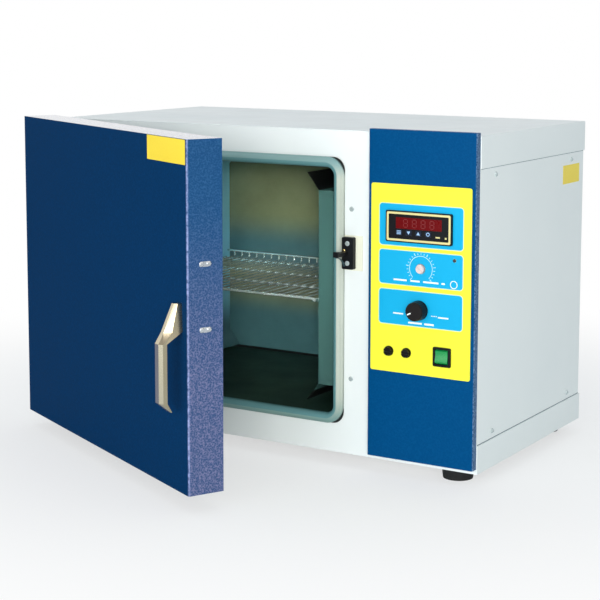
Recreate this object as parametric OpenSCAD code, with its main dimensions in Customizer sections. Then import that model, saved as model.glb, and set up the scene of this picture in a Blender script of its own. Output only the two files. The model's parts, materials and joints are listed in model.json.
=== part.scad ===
// Forced air oven: a bench-top heating cabinet with a swinging door on the left
// and a control column on the right. All sizes are in millimetres.
// The frame stands on the floor under the middle of the cabinet: +X to the right,
// +Y to the back, +Z up. The door is drawn partly open, as it stands at rest.

/* [Chamber] */
// Clear width of the heated chamber
chamber_w = 412; // [360:1:520]
// Clear height of the heated chamber
chamber_h = 328; // [305:1:420]
// Clear depth of the heated chamber
chamber_d = 292; // [270:1:380]
// Sheet thickness of the chamber liner
liner_t = 1.2; // [0.8:0.1:1.8]
// Radius of the liner's long corners
liner_r = 13; // [6:1:20]
// Width of the flange round the chamber mouth
liner_flange = 11; // [6:1:15]

/* [Cabinet] */
// From the cabinet's left side to the chamber
side_wall = 45; // [42:1:70]
// From the chamber's ceiling to the top of the cabinet
roof_wall = 49; // [44:1:80]
// From the cabinet's underside to the chamber floor
floor_wall = 53; // [44:1:80]
// From the chamber's back to the back of the cabinet
back_wall = 50; // [30:1:80]
// Width of the white front between chamber and control column
latch_strip = 54; // [50:1:80]
// Thickness of the cabinet's sheet metal
sheet_t = 1.5; // [1:0.1:2]
// Depth of the top cover's skirt
cover_skirt = 41; // [24:1:48]
// Height of the base tray's walls
tray_wall = 37; // [20:1:42]
// Depth of the front frame's folded edges
frame_fold = 12; // [6:1:18]

/* [Feet] */
// Diameter of a rubber foot
foot_d = 43; // [30:1:50]
// Height of a rubber foot
foot_h = 16; // [10:1:30]
// From the cabinet's sides to the middle of a foot
foot_in_x = 41; // [30:1:60]
// From the cabinet's front and back to the middle of a foot
foot_in_y = 30; // [26:1:60]

/* [Gasket] */
// Width of the door gasket
gasket_w = 13.5; // [12:0.5:18]
// Outer corner radius of the door gasket
gasket_r = 25; // [20:1:34]

/* [Air ducts] */
// Width of the duct behind each side cover
duct_w = 45; // [38:1:60]
// From the chamber mouth to the front of the duct covers
duct_front = 30; // [20:1:40]
// Height left free above a duct cover's wall
duct_top = 36; // [26:0.5:50]
// Height left free below a duct cover's wall
duct_foot = 28; // [26:0.5:50]
// Height of a flap
flap_rise = 24; // [10:1:25]
// Reach of a flap into the chamber
flap_reach = 18.5; // [8:0.5:30]
// Diameter of an intake hole in the fan's cover
intake_hole_d = 7; // [4:0.5:8]
// Spacing of the intake holes
intake_pitch = 11; // [10:0.5:14]
// Diameter of the perforated intake
intake_d = 84; // [50:1:100]

/* [Fan] */
// Diameter of the fan wheel
fan_d = 108; // [80:1:120]
// Width of the fan wheel
fan_w = 24; // [14:1:26]
// Number of blades on the fan wheel
fan_blades = 24; // [12:1:32]
// Depth of the fan's axis behind the chamber mouth
fan_y = 150; // [145:1:160]
// Diameter of the fan shaft
shaft_d = 8; // [5:0.5:10]
// Diameter of the motor
motor_d = 76; // [50:1:80]
// Length of the motor's case
motor_l = 58; // [40:1:60]

/* [Heater] */
// Diameter of the heater tube
heater_d = 8; // [5:0.5:10]
// Distance between the two legs of a hairpin
heater_gap = 24; // [16:1:30]
// Height of a hairpin above or below the fan's axis
heater_rise = 100; // [85:1:105]

/* [Shelf] */
// Height of the shelf above the chamber floor
shelf_rise = 144; // [60:1:220]
// Diameter of the shelf's long wires
wire_d = 2.5; // [2:0.1:4]
// Diameter of the shelf's cross rods
rod_d = 5; // [4:0.5:8]
// Number of long wires
wire_count = 22; // [10:1:26]
// From the chamber mouth to the front of the shelf
shelf_front = 24; // [18:1:40]
// Height of the stop along the shelf's back
shelf_stop = 9; // [7:1:30]
// Width of the runner under each side of the shelf
runner_w = 12; // [8:1:16]

/* [Door] */
// Angle at which the door stands open at rest
door_open = 27; // [0:1:90]
// Thickness of the door
door_t = 47.4; // [40:0.2:60]
// Gap between the closed door and the cabinet front
door_gap = 11; // [10:0.1:16]
// Gap between the door's free edge and the control column
door_side_gap = 9.5; // [6:0.5:14]
// Overhang of the door past the cabinet's left side
door_over = 2.6; // [1:0.1:2.8]
// How much shorter the door is than the cabinet at each end
door_end_gap = 1.2; // [0.5:0.1:3]
// How far the door hangs above its middle place on the cabinet
door_rise = 5.4; // [0:0.1:7]
// Radius of the door's outer edges
door_r = 3; // [2:0.5:8]
// Sheet thickness of the door
door_sheet = 1.5; // [1:0.1:2]
// Height of the pressed field on the door's inner panel
inner_rise = 4; // [2:0.5:6]

/* [Hinges] */
// Diameter of the hinge barrel
barrel_d = 16; // [12:0.5:16]
// Diameter of the hinge pin
hinge_pin_d = 8; // [5:0.5:9]
// Height of a hinge
hinge_h = 60; // [40:1:80]
// Thickness of a hinge leaf
leaf_t = 3; // [2:0.1:3]
// Width of a hinge leaf
leaf_w = 34; // [24:1:40]
// From the cabinet's underside to the middle of the lower hinge
hinge_low = 75; // [60:1:110]

/* [Handle] */
// Overall height of the door handle
handle_h = 130; // [90:1:180]
// Distance of the grip's outside from the door
handle_reach = 31; // [24:1:50]
// Width of the handle's bar
handle_w = 19; // [12:0.5:24]
// Thickness of the handle's bar
handle_t = 9; // [6:0.5:12]
// Height of the handle's lower end above the cabinet's underside
handle_low = 109; // [60:1:160]
// From the door's free edge to the middle of the handle
handle_in = 19.5; // [16:0.5:40]

/* [Latch] */
// Width of the strike plate
strike_w = 17; // [16:0.5:24]
// Height of the strike plate
strike_h = 42; // [36:0.5:60]
// Height of the strike's middle above the cabinet's underside
strike_mid = 270; // [230:1:300]
// Reach of the tongue in front of the strike plate
tongue_reach = 26; // [16:1:30]
// Thickness of the tongue
tongue_t = 5; // [4:0.1:6]
// Width of the tongue
tongue_w = 7; // [5:0.5:9]

/* [Control column] */
// Width of the blue control column
fascia_w = 152.5; // [150:0.5:180]
// How far the control column stands in front of the cabinet
fascia_depth = 10.6; // [8:0.1:12]
// Radius of the control column's front edges
fascia_r = 2.5; // [2:0.1:4]
// Width of the yellow front plate
plate_w = 142.5; // [138:0.5:148]
// Height of the yellow front plate
plate_h = 243.5; // [228:0.5:250]
// Height of the front plate's lower edge above the cabinet's underside
plate_low = 122; // [110:0.5:140]
// Thickness of the front plate
plate_t = 1; // [0.8:0.1:2]
// Corner radius of the front plate
plate_r = 3; // [1:0.5:5]

/* [Controller] */
// Width of the temperature controller's bezel
ctrl_w = 93.5; // [90:0.5:100]
// Height of the temperature controller's bezel
ctrl_h = 40; // [38:0.5:44]
// How far the bezel stands in front of the plate
ctrl_proud = 4; // [3:0.2:6]
// Length of the controller behind the plate
ctrl_deep = 84; // [40:1:88]
// Width of the display window
window_w = 65; // [50:0.5:70]
// Height of the display window
window_h = 14.5; // [10:0.5:15.5]
// Width of a key
key_w = 9; // [6:0.5:11]
// Height of a key
key_h = 7; // [5:0.5:8]
// Spacing of the keys
key_pitch = 13.8; // [12.5:0.1:14.5]
// Travel of a key
key_travel = 0.6; // [0.3:0.1:1]

/* [Knob and air damper] */
// Diameter of the fresh air knob
knob_d = 25.5; // [18:0.5:30]
// Depth of the fresh air knob
knob_l = 15; // [10:0.5:20]
// Diameter of the knob's rod
rod_r_d = 6; // [4:0.5:8]
// Bore of the fresh air pipe
pipe_bore = 30; // [24:1:34]
// Wall of the fresh air pipe
pipe_t = 1.2; // [0.8:0.1:2]
// Depth of the fresh air pipe behind the cabinet front
pipe_y = 60; // [50:1:66]

/* [Switch, fuses and alarm dial] */
// Width of the mains switch
switch_w = 25; // [24:0.5:30]
// Height of the mains switch
switch_h = 25; // [25:0.5:30]
// Tilt of the rocker from one side to the other
rocker_tilt = 16; // [10:1:20]
// Diameter of a fuse holder's flange
fuse_d = 13; // [12.5:0.5:18]
// Diameter of a fuse cap
fuse_cap_d = 11; // [10:0.5:12.5]
// Diameter of the alarm trimmer's head
trimmer_d = 11; // [8:0.5:13]
// Diameter of the alarm lamp
lamp_d = 4.4; // [3:0.1:6]

/* [Back] */
// Bore of the exhaust port
port_bore = 28; // [20:1:40]
// How far the exhaust port stands out of the back
port_out = 14; // [8:1:30]
// Number of vent slots in the back of the control column
vent_count = 7; // [3:1:9]

/* [Hidden] */
$fn = 48;

// Overrun of every cut past the face that it opens
over = 1;
// Clearance between pieces of different bodies, and between loose pieces
clear = 0.3;
// Radial running clearance of a shaft in its bore
run = 0.05;

// Outside of the cabinet, worked out from the chamber and its walls
column_x = side_wall + chamber_w + latch_strip;
cab_w = column_x + fascia_w + sheet_t;
cab_h = floor_wall + chamber_h + roof_wall;
cab_d = chamber_d + back_wall;
chamber_x2 = side_wall + chamber_w;
chamber_z2 = floor_wall + chamber_h;
fan_z = floor_wall + chamber_h / 2;
panel_t2 = 2 * sheet_t;

// Thickness of the insulation between the chamber and the control column
column_wall = 35;
partition_x = chamber_x2 + liner_t + column_wall;
// Opening behind the control column, inside its folded edges
column_fold = 10;

// Front faces, counted from the cabinet's front
fascia_y = -fascia_depth;
plate_y = fascia_y - plate_t;

// Height of the gasket, which the closed door just clears
gasket_y = -door_gap + clear;

// Hinge axis, outside the cabinet's left front corner
hinge_x = sheet_t - leaf_t - barrel_d / 2;
// From the cabinet's front to the hinge axis
hinge_y = -4.4;

// Door, drawn closed before it is swung
door_x1 = -door_over;
door_x2 = column_x - door_side_gap;
door_z1 = door_end_gap + door_rise;
door_z2 = cab_h - door_end_gap + door_rise;
door_y2 = -door_gap;
door_y1 = door_y2 - door_t;

module in_cabinet() {
  translate([-cab_w / 2, -cab_d / 2, foot_h]) children();
}

module on_door() {
  in_cabinet()
    translate([hinge_x, hinge_y, 0]) rotate([0, 0, -door_open]) translate([-hinge_x, -hinge_y, 0])
      children();
}

// A flat outline, drawn as width and height, standing upright and facing the front
module facing_front(y, depth) {
  translate([0, y + depth, 0]) rotate([90, 0, 0]) linear_extrude(depth) children();
}

// A flat outline, drawn as depth and height, standing upright and facing the side
module facing_side(x, depth) {
  translate([x, 0, 0]) rotate([90, 0, 90]) linear_extrude(depth) children();
}

module rounded(w, h, r) {
  translate([r, 0]) square([w - 2 * r, h]);
  translate([0, r]) square([w, h - 2 * r]);
  for (x = [r, w - r], y = [r, h - r]) {
    translate([x, y]) circle(r);
  }
}

module rounded_mid(w, h, r) {
  translate([-w / 2, -h / 2]) rounded(w, h, r);
}

// A round bar from front to back, or from left to right
module bar_y(d, y1, y2) {
  translate([0, y2, 0]) rotate([90, 0, 0]) cylinder(h = y2 - y1, d = d);
}

module bar_x(d, x1, x2) {
  translate([x1, 0, 0]) rotate([0, 90, 0]) cylinder(h = x2 - x1, d = d);
}

// Screw heads share one size
screw_d = 6.4;
screw_h = 1.8;
screw_slot = 1.2;

module screw_head() {
  difference() {
    union() {
      cylinder(h = screw_h / 2, d = screw_d);
      translate([0, 0, screw_h / 2]) cylinder(h = screw_h / 2, d1 = screw_d, d2 = screw_d * 0.7);
    }
    translate([-screw_d / 2, -screw_slot / 2, screw_h / 2]) cube([screw_d, screw_slot, screw_h]);
  }
}

// Cabinet casing

module top_cover() {
  color("gainsboro") in_cabinet() {
    translate([0, 0, cab_h - sheet_t]) cube([cab_w, cab_d, sheet_t]);
    for (x = [0, cab_w - sheet_t]) {
      translate([x, 0, cab_h - cover_skirt]) cube([sheet_t, cab_d, cover_skirt]);
    }
    translate([0, cab_d - sheet_t, cab_h - cover_skirt]) cube([cab_w, sheet_t, cover_skirt]);
  }
}

module base_tray() {
  color("gainsboro") in_cabinet() {
    cube([cab_w, cab_d, sheet_t]);
    for (x = [0, cab_w - sheet_t]) {
      translate([x, 0, 0]) cube([sheet_t, cab_d, tray_wall]);
    }
    translate([0, cab_d - sheet_t, 0]) cube([cab_w, sheet_t, tray_wall]);
  }
}

module side_panel(x) {
  in_cabinet() translate([x, sheet_t, sheet_t]) cube([sheet_t, cab_d - panel_t2, cab_h - panel_t2]);
}

module left_side_panel() {
  color("aliceblue") side_panel(sheet_t);
}

module right_side_panel() {
  color("aliceblue") side_panel(cab_w - panel_t2);
}

// Vent slots of the control column, in the back
vent_w = 70;
vent_h = 4;
vent_pitch = 12;
vent_low = 300;
vent_x = column_x + fascia_w / 2;

// Mains inlet in the back
inlet_w = 48;
inlet_h = 28;
inlet_z = 90;
inlet_deep = 26;
inlet_lip = 3;
inlet_pin_t = 2;
inlet_pin_l = 12;
inlet_pin_h = 4;
inlet_r = 3;
inlet_flange = 4;

// Exhaust port through the back wall
port_side = 25;
port_x = side_wall + chamber_w / 2 + port_side;
port_drop = 60;
port_z = chamber_z2 - port_drop;
port_t = 1.5;
port_collar = 8;

module rear_panel() {
  y = cab_d - panel_t2;
  color("aliceblue") in_cabinet() difference() {
    translate([panel_t2, y, sheet_t]) cube([cab_w - 2 * panel_t2, sheet_t, cab_h - panel_t2]);
    for (i = [0 : vent_count - 1]) {
      translate([vent_x - vent_w / 2, y - over, vent_low - i * vent_pitch])
        cube([vent_w, sheet_t + 2 * over, vent_h]);
    }
    translate([vent_x, 0, inlet_z])
      facing_front(y - over, sheet_t + 2 * over) rounded_mid(inlet_w, inlet_h, inlet_r);
    translate([port_x, 0, port_z]) bar_y(port_bore + 2 * port_t, y - over, y + sheet_t + over);
  }
}

module front_frame() {
  hole_x = column_x + column_fold;
  hole_w = fascia_w - 2 * column_fold;
  inner_w = cab_w - 2 * panel_t2;
  color("whitesmoke") in_cabinet() {
    facing_front(0, sheet_t) difference() {
      translate([sheet_t, sheet_t]) square([cab_w - panel_t2, cab_h - panel_t2]);
      translate([side_wall - liner_t, floor_wall - liner_t])
        rounded(chamber_w + 2 * liner_t, chamber_h + 2 * liner_t, liner_r + liner_t);
      translate([hole_x, plate_low]) square([hole_w, plate_h]);
    }
    for (x = [panel_t2, cab_w - panel_t2 - sheet_t]) {
      translate([x, sheet_t, sheet_t]) cube([sheet_t, frame_fold, cab_h - panel_t2]);
    }
    for (z = [sheet_t, cab_h - panel_t2]) {
      translate([panel_t2, sheet_t, z]) cube([inner_w, frame_fold, sheet_t]);
    }
  }
}

// Places of the screws on the cabinet
side_screw_in = 46;
side_screw_drop = 10;
rear_screw_in = 30;
front_screw_in = 23.5;
front_screw_rise = 49;
strike_to_screw = 57.5;

module cabinet_screws() {
  color("silver") in_cabinet() {
    for (y = [side_screw_in, cab_d - side_screw_in]) {
      for (z = [tray_wall + side_screw_drop, cab_h - cover_skirt - side_screw_drop]) {
        translate([cab_w - sheet_t, y, z]) rotate([0, 90, 0]) screw_head();
        translate([sheet_t, y, z]) rotate([0, -90, 0]) screw_head();
      }
    }
    for (x = [rear_screw_in, cab_w / 2, cab_w - rear_screw_in]) {
      for (z = [tray_wall + side_screw_drop, cab_h - cover_skirt - side_screw_drop]) {
        translate([x, cab_d - panel_t2 + sheet_t, z]) rotate([-90, 0, 0]) screw_head();
      }
    }
    for (z = [floor_wall + front_screw_rise, strike_mid + strike_to_screw]) {
      translate([chamber_x2 + front_screw_in, 0, z]) rotate([90, 0, 0]) screw_head();
    }
    for (z = [strike_z + strike_screw_in, strike_z + strike_h - strike_screw_in]) {
      translate([strike_x + strike_w / 2, strike_y1, z]) rotate([90, 0, 0]) screw_head();
    }
  }
}

// Chamber

// Holes through the chamber's right wall, shared by all that it passes
sleeve_t = 2;
sleeve_bore = shaft_d + 2 * sleeve_t;
sleeve_d = sleeve_bore + 2 * sleeve_t;
pipe_d = pipe_bore + 2 * pipe_t;
duct_mid = duct_w / 2;
heater_bend = 14;
heater_lead_in = 22;
heater_lead_y = duct_front + heater_lead_in;
heater_back = 30;
heater_tail = 9;
probe_d = 5;
probe_to_back = 47;
probe_y = chamber_d - probe_to_back;
probe_rise = 70;
probe_in = 14;
probe_tail = 8;

module wall_passages(x1, x2) {
  translate([0, fan_y, fan_z]) bar_x(sleeve_d, x1, x2);
  translate([0, pipe_y, knob_z]) bar_x(pipe_d, x1, x2);
  for (side = [-1, 1], leg = [-1, 1]) {
    translate([0, heater_lead_y, fan_z + side * heater_rise + leg * heater_gap / 2])
      bar_x(heater_d, x1, x2);
  }
  translate([0, probe_y, fan_z + probe_rise]) bar_x(probe_d, x1, x2);
}

module chamber_liner() {
  color("silver") in_cabinet() difference() {
    union() {
      facing_front(0, chamber_d + liner_t) translate([side_wall - liner_t, floor_wall - liner_t])
        rounded(chamber_w + 2 * liner_t, chamber_h + 2 * liner_t, liner_r + liner_t);
      facing_front(-liner_t, liner_t) translate([side_wall - liner_flange, floor_wall - liner_flange])
        rounded(chamber_w + 2 * liner_flange, chamber_h + 2 * liner_flange, liner_r + liner_flange);
    }
    facing_front(-liner_t - over, chamber_d + liner_t + over) translate([side_wall, floor_wall])
      rounded(chamber_w, chamber_h, liner_r);
    wall_passages(chamber_x2 - over, chamber_x2 + liner_t + over);
    translate([port_x, 0, port_z])
      bar_y(port_bore + 2 * port_t, chamber_d - over, chamber_d + liner_t + over);
  }
}

module chamber_insulation() {
  y2 = cab_d - panel_t2;
  side_y = sheet_t + frame_fold;
  x1 = side_wall - liner_t;
  x2 = chamber_x2 + liner_t;
  z1 = floor_wall - liner_t;
  z2 = chamber_z2 + liner_t;
  color("khaki") in_cabinet() {
    translate([panel_t2, side_y, panel_t2]) cube([x1 - panel_t2, y2 - side_y, cab_h - 2 * panel_t2]);
    difference() {
      translate([x2, side_y, panel_t2]) cube([partition_x - x2, y2 - side_y, cab_h - 2 * panel_t2]);
      wall_passages(x2 - over, partition_x + over);
    }
    translate([x1, side_y, panel_t2]) cube([x2 - x1, y2 - side_y, z1 - panel_t2]);
    translate([x1, side_y, z2]) cube([x2 - x1, y2 - side_y, cab_h - panel_t2 - z2]);
    difference() {
      translate([x1, chamber_d + liner_t, z1]) cube([x2 - x1, y2 - chamber_d - liner_t, z2 - z1]);
      translate([port_x, 0, port_z]) bar_y(port_bore + 2 * port_t, chamber_d, y2 + over);
    }
  }
}

module partition_wall() {
  y1 = sheet_t + frame_fold;
  color("lightsteelblue") in_cabinet() difference() {
    translate([partition_x, y1, panel_t2]) cube([sheet_t, cab_d - panel_t2 - y1, cab_h - 2 * panel_t2]);
    wall_passages(partition_x - over, partition_x + sheet_t + over);
  }
}

module door_gasket() {
  depth = -liner_t - gasket_y;
  color("lightgrey") in_cabinet() facing_front(gasket_y, depth) difference() {
    translate([side_wall - gasket_w, floor_wall - gasket_w])
      rounded(chamber_w + 2 * gasket_w, chamber_h + 2 * gasket_w, gasket_r);
    translate([side_wall, floor_wall]) rounded(chamber_w, chamber_h, liner_r);
  }
}

// Duct covers: a wall with a folded front, a foot on the liner and a flap at each end

duct_fold = 12;

module duct_outline() {
  z1 = duct_foot;
  z2 = chamber_h - duct_top;
  polygon([
    [duct_w, z1], [duct_w, z2], [duct_w + flap_reach, z2 + flap_rise],
    [duct_w + flap_reach - liner_t, z2 + flap_rise], [duct_w - liner_t, z2],
    [duct_w - liner_t, z1], [duct_w + flap_reach - liner_t, z1 - flap_rise],
    [duct_w + flap_reach, z1 - flap_rise]
  ]);
}

// Drawn against a wall at zero, with the chamber towards +X
module duct_cover() {
  h = chamber_h - duct_foot - duct_top;
  facing_front(duct_front, chamber_d - duct_front) duct_outline();
  translate([0, duct_front, duct_foot]) cube([duct_w, liner_t, h]);
  translate([0, duct_front, duct_foot]) cube([liner_t, duct_fold, h]);
}

module intake_holes(x1, x2) {
  rings = floor(intake_d / intake_pitch / 2);
  for (ring = [0 : rings]) {
    count = ring == 0 ? 1 : 6 * ring;
    for (i = [0 : count - 1]) {
      rotate([i * 360 / count, 0, 0]) translate([0, 0, ring * intake_pitch]) bar_x(intake_hole_d, x1, x2);
    }
  }
}

module left_duct_cover() {
  color("lightslategrey") in_cabinet() translate([side_wall, 0, floor_wall]) duct_cover();
}

module right_duct_cover() {
  x1 = chamber_x2 - duct_w - over;
  x2 = chamber_x2 - duct_w + liner_t + over;
  color("lightslategrey") in_cabinet() difference() {
    translate([chamber_x2, 0, floor_wall]) mirror([1, 0, 0]) duct_cover();
    translate([0, fan_y, fan_z]) intake_holes(x1, x2);
    translate([0, probe_y, fan_z + probe_rise]) bar_x(probe_d, x1, x2);
  }
}

// Shelf and the angles that carry it

shelf_z = floor_wall + shelf_rise;
shelf_x1 = side_wall + duct_w + clear;
shelf_x2 = chamber_x2 - duct_w - clear;
shelf_y1 = shelf_front;
shelf_back_gap = 10;
shelf_y2 = chamber_d - shelf_back_gap;
// Depth to which crossing wires are welded into each other
weld = 0.6;
cross_share = [0.03, 0.34, 0.66, 0.97];
cross_d = rod_d - 2 * weld;
wire_bend = 4;

module shelf_runners() {
  z = shelf_z - rod_d / 2 - clear - liner_t;
  l = chamber_d - duct_front - liner_t;
  color("silver") in_cabinet() {
    translate([side_wall + duct_w, duct_front + liner_t, z]) {
      cube([runner_w, l, liner_t]);
      translate([0, 0, -runner_w]) cube([liner_t, l, runner_w]);
    }
    translate([chamber_x2 - duct_w - runner_w, duct_front + liner_t, z]) {
      cube([runner_w, l, liner_t]);
      translate([runner_w - liner_t, 0, -runner_w]) cube([liner_t, l, runner_w]);
    }
  }
}

module wire_shelf() {
  wire_z = shelf_z + cross_d / 2 + wire_d / 2 - weld;
  x1 = shelf_x1 + rod_d / 2;
  x2 = shelf_x2 - rod_d / 2;
  color("lightgrey") in_cabinet() {
    for (x = [x1, x2]) {
      translate([x, 0, shelf_z]) bar_y(rod_d, shelf_y1, shelf_y2 - rod_d);
    }
    for (s = cross_share) {
      translate([0, shelf_y1 + s * (shelf_y2 - shelf_y1 - rod_d), shelf_z]) bar_x(cross_d, x1, x2);
    }
    for (i = [1 : wire_count]) {
      translate([x1 + i * (x2 - x1) / (wire_count + 1), 0, 0]) {
        translate([0, 0, wire_z]) bar_y(wire_d, shelf_y1, shelf_y2 - wire_bend);
        translate([0, shelf_y2 - wire_bend, wire_z + wire_bend]) rotate([90, 0, 90])
          rotate_extrude(angle = -90) translate([wire_bend, 0]) circle(d = wire_d);
        translate([0, shelf_y2, wire_z + wire_bend]) cylinder(h = shelf_stop - wire_bend, d = wire_d);
      }
    }
    translate([0, shelf_y2, wire_z + shelf_stop]) bar_x(wire_d + weld, x1, x2);
  }
}

// Heater, probe and fan

module heater_hairpins() {
  x = chamber_x2 - duct_mid;
  y1 = heater_lead_y + heater_bend;
  y2 = chamber_d - heater_back;
  color("dimgrey") in_cabinet() for (side = [-1, 1]) {
    translate([x, 0, fan_z + side * heater_rise]) {
      for (leg = [-1, 1]) {
        translate([0, 0, leg * heater_gap / 2]) {
          bar_y(heater_d, y1, y2);
          translate([heater_bend, y1, 0]) rotate([0, 0, 180]) rotate_extrude(angle = 90)
            translate([heater_bend, 0]) circle(d = heater_d);
          translate([0, heater_lead_y, 0])
            bar_x(heater_d, heater_bend, partition_x + sheet_t + heater_tail - x);
        }
      }
      translate([0, y2, 0]) rotate([0, 90, 0]) rotate_extrude(angle = 180)
        translate([heater_gap / 2, 0]) circle(d = heater_d);
    }
  }
}

module temperature_probe() {
  x1 = chamber_x2 - duct_w - probe_in;
  color("silver") in_cabinet() translate([0, probe_y, fan_z + probe_rise]) {
    bar_x(probe_d, x1 + probe_d / 2, partition_x + sheet_t + probe_tail);
    translate([x1 + probe_d / 2, 0, 0]) sphere(d = probe_d);
  }
}

// Shaft, from the wheel's front to the motor's tail
motor_stand = 14;
motor_x = partition_x + sheet_t + motor_stand;
motor_lip = 4;
motor_boss_d = 24;
motor_boss_l = 4;
wheel_gap = 6;
wheel_x2 = chamber_x2 - wheel_gap;
wheel_x1 = wheel_x2 - fan_w;
hub_d = 24;
disc_t = 1.2;
blade_t = 1;
blade_depth = 15;
blade_steps = 5;
blade_sweep = 9;
disc_d = 46;
disc_hub_d = 16;
disc_hub_l = 6;
disc_vanes = 8;
shaft_tail = 3;

module shaft_sleeve() {
  color("silver") in_cabinet() translate([0, fan_y, fan_z]) difference() {
    bar_x(sleeve_d, chamber_x2, partition_x + sheet_t);
    bar_x(sleeve_bore, chamber_x2 - over, partition_x + sheet_t + over);
  }
}

module fan_motor() {
  color("dimgrey") in_cabinet() translate([motor_x, fan_y, fan_z]) difference() {
    union() {
      bar_x(motor_d, 0, motor_lip);
      bar_x(motor_d - 2 * motor_lip, motor_lip, motor_l - motor_lip);
      bar_x(motor_d, motor_l - 2 * motor_lip, motor_l - motor_lip);
      bar_x(motor_boss_d, -motor_boss_l, motor_l);
    }
    bar_x(shaft_d + 2 * run, -motor_boss_l - over, motor_l + over);
  }
}

// Posts that carry the motor on the partition
post_d = 6;
post_count = 4;

module fan_motor_posts() {
  color("silver") in_cabinet() translate([0, fan_y, fan_z]) for (i = [0 : post_count - 1]) {
    rotate([(i + 0.5) * 360 / post_count, 0, 0]) translate([0, 0, motor_d / 2 - post_d / 2])
      bar_x(post_d, partition_x + sheet_t, motor_x);
  }
}

module fan_shaft() {
  color("silver") in_cabinet() translate([0, fan_y, fan_z])
    bar_x(shaft_d, wheel_x1, motor_x + motor_l + shaft_tail);
}

// One blade, curved forward, drawn across the wheel's axis
function blade_point(i, side) =
  let (
    share = i / blade_steps,
    r = fan_d / 2 - disc_t - blade_depth * (1 - share),
    a = blade_sweep * share * share
  )
  [r * cos(a) - side * blade_t / 2 * sin(a), r * sin(a) + side * blade_t / 2 * cos(a)];

module fan_wheel() {
  color("silver") in_cabinet() translate([0, fan_y, fan_z]) difference() {
    union() {
      bar_x(hub_d, wheel_x1 + disc_t, wheel_x2);
      bar_x(fan_d, wheel_x2 - disc_t, wheel_x2);
      difference() {
        bar_x(fan_d, wheel_x1, wheel_x1 + disc_t);
        bar_x(fan_d - 2 * blade_depth, wheel_x1 - over, wheel_x1 + disc_t + over);
      }
      for (i = [0 : fan_blades - 1]) {
        rotate([i * 360 / fan_blades, 0, 0]) facing_side(wheel_x1 + disc_t, fan_w - 2 * disc_t)
          polygon(concat(
            [for (k = [0 : blade_steps]) blade_point(k, 1)],
            [for (k = [0 : blade_steps]) blade_point(blade_steps - k, -1)]
          ));
      }
    }
    bar_x(shaft_d, wheel_x1 - over, wheel_x2 + over);
  }
}

module cooling_disc() {
  x = partition_x + sheet_t + (motor_stand - motor_boss_l - disc_hub_l) / 2;
  color("silver") in_cabinet() translate([x, fan_y, fan_z]) difference() {
    union() {
      bar_x(disc_hub_d, 0, disc_hub_l);
      bar_x(disc_d, 0, disc_t);
      for (i = [0 : disc_vanes - 1]) {
        rotate([i * 360 / disc_vanes, 0, 0]) translate([0, -disc_t / 2, disc_hub_d / 2 - disc_t])
          cube([disc_hub_l - disc_t, disc_t, (disc_d - disc_hub_d) / 2 - disc_t]);
      }
    }
    bar_x(shaft_d, -over, disc_hub_l + over);
  }
}

// Control column: how far each piece sits to the right of and above the front plate's lower left corner.
// The upper pieces share out the plate's height, the fuses and the switch keep to its lower edge.

ctrl_right = 70;
ctrl_up_share = 0.78;
trim_right = 72.3;
trim_up_share = 0.564;
lamp_right = 119.5;
lamp_up_share = 0.622;
knob_right = 70.5;
knob_up_share = 0.345;
fuse_right = 27.4;
fuse_up = 27;
fuse_pitch = 25.5;
switch_right = 103.8;
switch_up = 27;

plate_x = column_x + (fascia_w - plate_w) / 2;
ctrl_x = plate_x + ctrl_right;
ctrl_z = plate_low + ctrl_up_share * plate_h;
trim_x = plate_x + trim_right;
trim_z = plate_low + trim_up_share * plate_h;
lamp_x = plate_x + lamp_right;
lamp_z = plate_low + lamp_up_share * plate_h;
knob_x = plate_x + knob_right;
knob_z = plate_low + knob_up_share * plate_h;
fuse_x = plate_x + fuse_right;
fuse_z = plate_low + fuse_up;
switch_x = plate_x + switch_right;
switch_z = plate_low + switch_up;

ctrl_wall = 3;
ctrl_r = 2;
bezel_t = 1.6;
trim_bush_d = 8;
fuse_body_d = 11.6;
knob_hole_gap = 1;
knob_hole_d = rod_r_d + 2 * knob_hole_gap;
switch_lip = 1.2;

module panel_cuts(y1, y2) {
  d = y2 - y1;
  translate([ctrl_x, 0, ctrl_z]) facing_front(y1, d)
    square([ctrl_w - 2 * ctrl_wall, ctrl_h - 2 * ctrl_wall], true);
  translate([trim_x, 0, trim_z]) bar_y(trim_bush_d, y1, y2);
  translate([lamp_x, 0, lamp_z]) bar_y(lamp_d, y1, y2);
  translate([knob_x, 0, knob_z]) bar_y(knob_hole_d, y1, y2);
  for (i = [0, 1]) {
    translate([fuse_x + i * fuse_pitch, 0, fuse_z]) bar_y(fuse_body_d, y1, y2);
  }
  translate([switch_x, 0, switch_z]) facing_front(y1, d)
    square([switch_w - 2 * switch_lip, switch_h - 2 * switch_lip], true);
}

module column_outline(grow) {
  w = fascia_w - 2 * grow;
  r = fascia_r - grow;
  translate([column_x + grow, fascia_y + grow]) {
    translate([0, r]) square([w, fascia_depth - grow - r]);
    translate([r, 0]) square([w - 2 * r, r]);
    for (x = [r, w - r]) {
      translate([x, r]) circle(r);
    }
  }
}

module control_column() {
  color("darkcyan") in_cabinet() difference() {
    translate([0, 0, door_z1]) linear_extrude(door_z2 - door_z1) column_outline(0);
    translate([0, 0, door_z1 + sheet_t]) linear_extrude(door_z2 - door_z1 - 2 * sheet_t) {
      column_outline(sheet_t);
      translate([column_x + sheet_t, -over]) square([fascia_w - 2 * sheet_t, 2 * over]);
    }
    panel_cuts(fascia_y - over, fascia_y + sheet_t + over);
  }
}

module front_plate() {
  color("yellow") in_cabinet() difference() {
    translate([plate_x, 0, plate_low]) facing_front(plate_y, plate_t) rounded(plate_w, plate_h, plate_r);
    panel_cuts(plate_y - over, fascia_y + over);
  }
}

// Controller: a case behind the plate, a bezel in front, a window and four keys

key_clear = 0.25;
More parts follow.
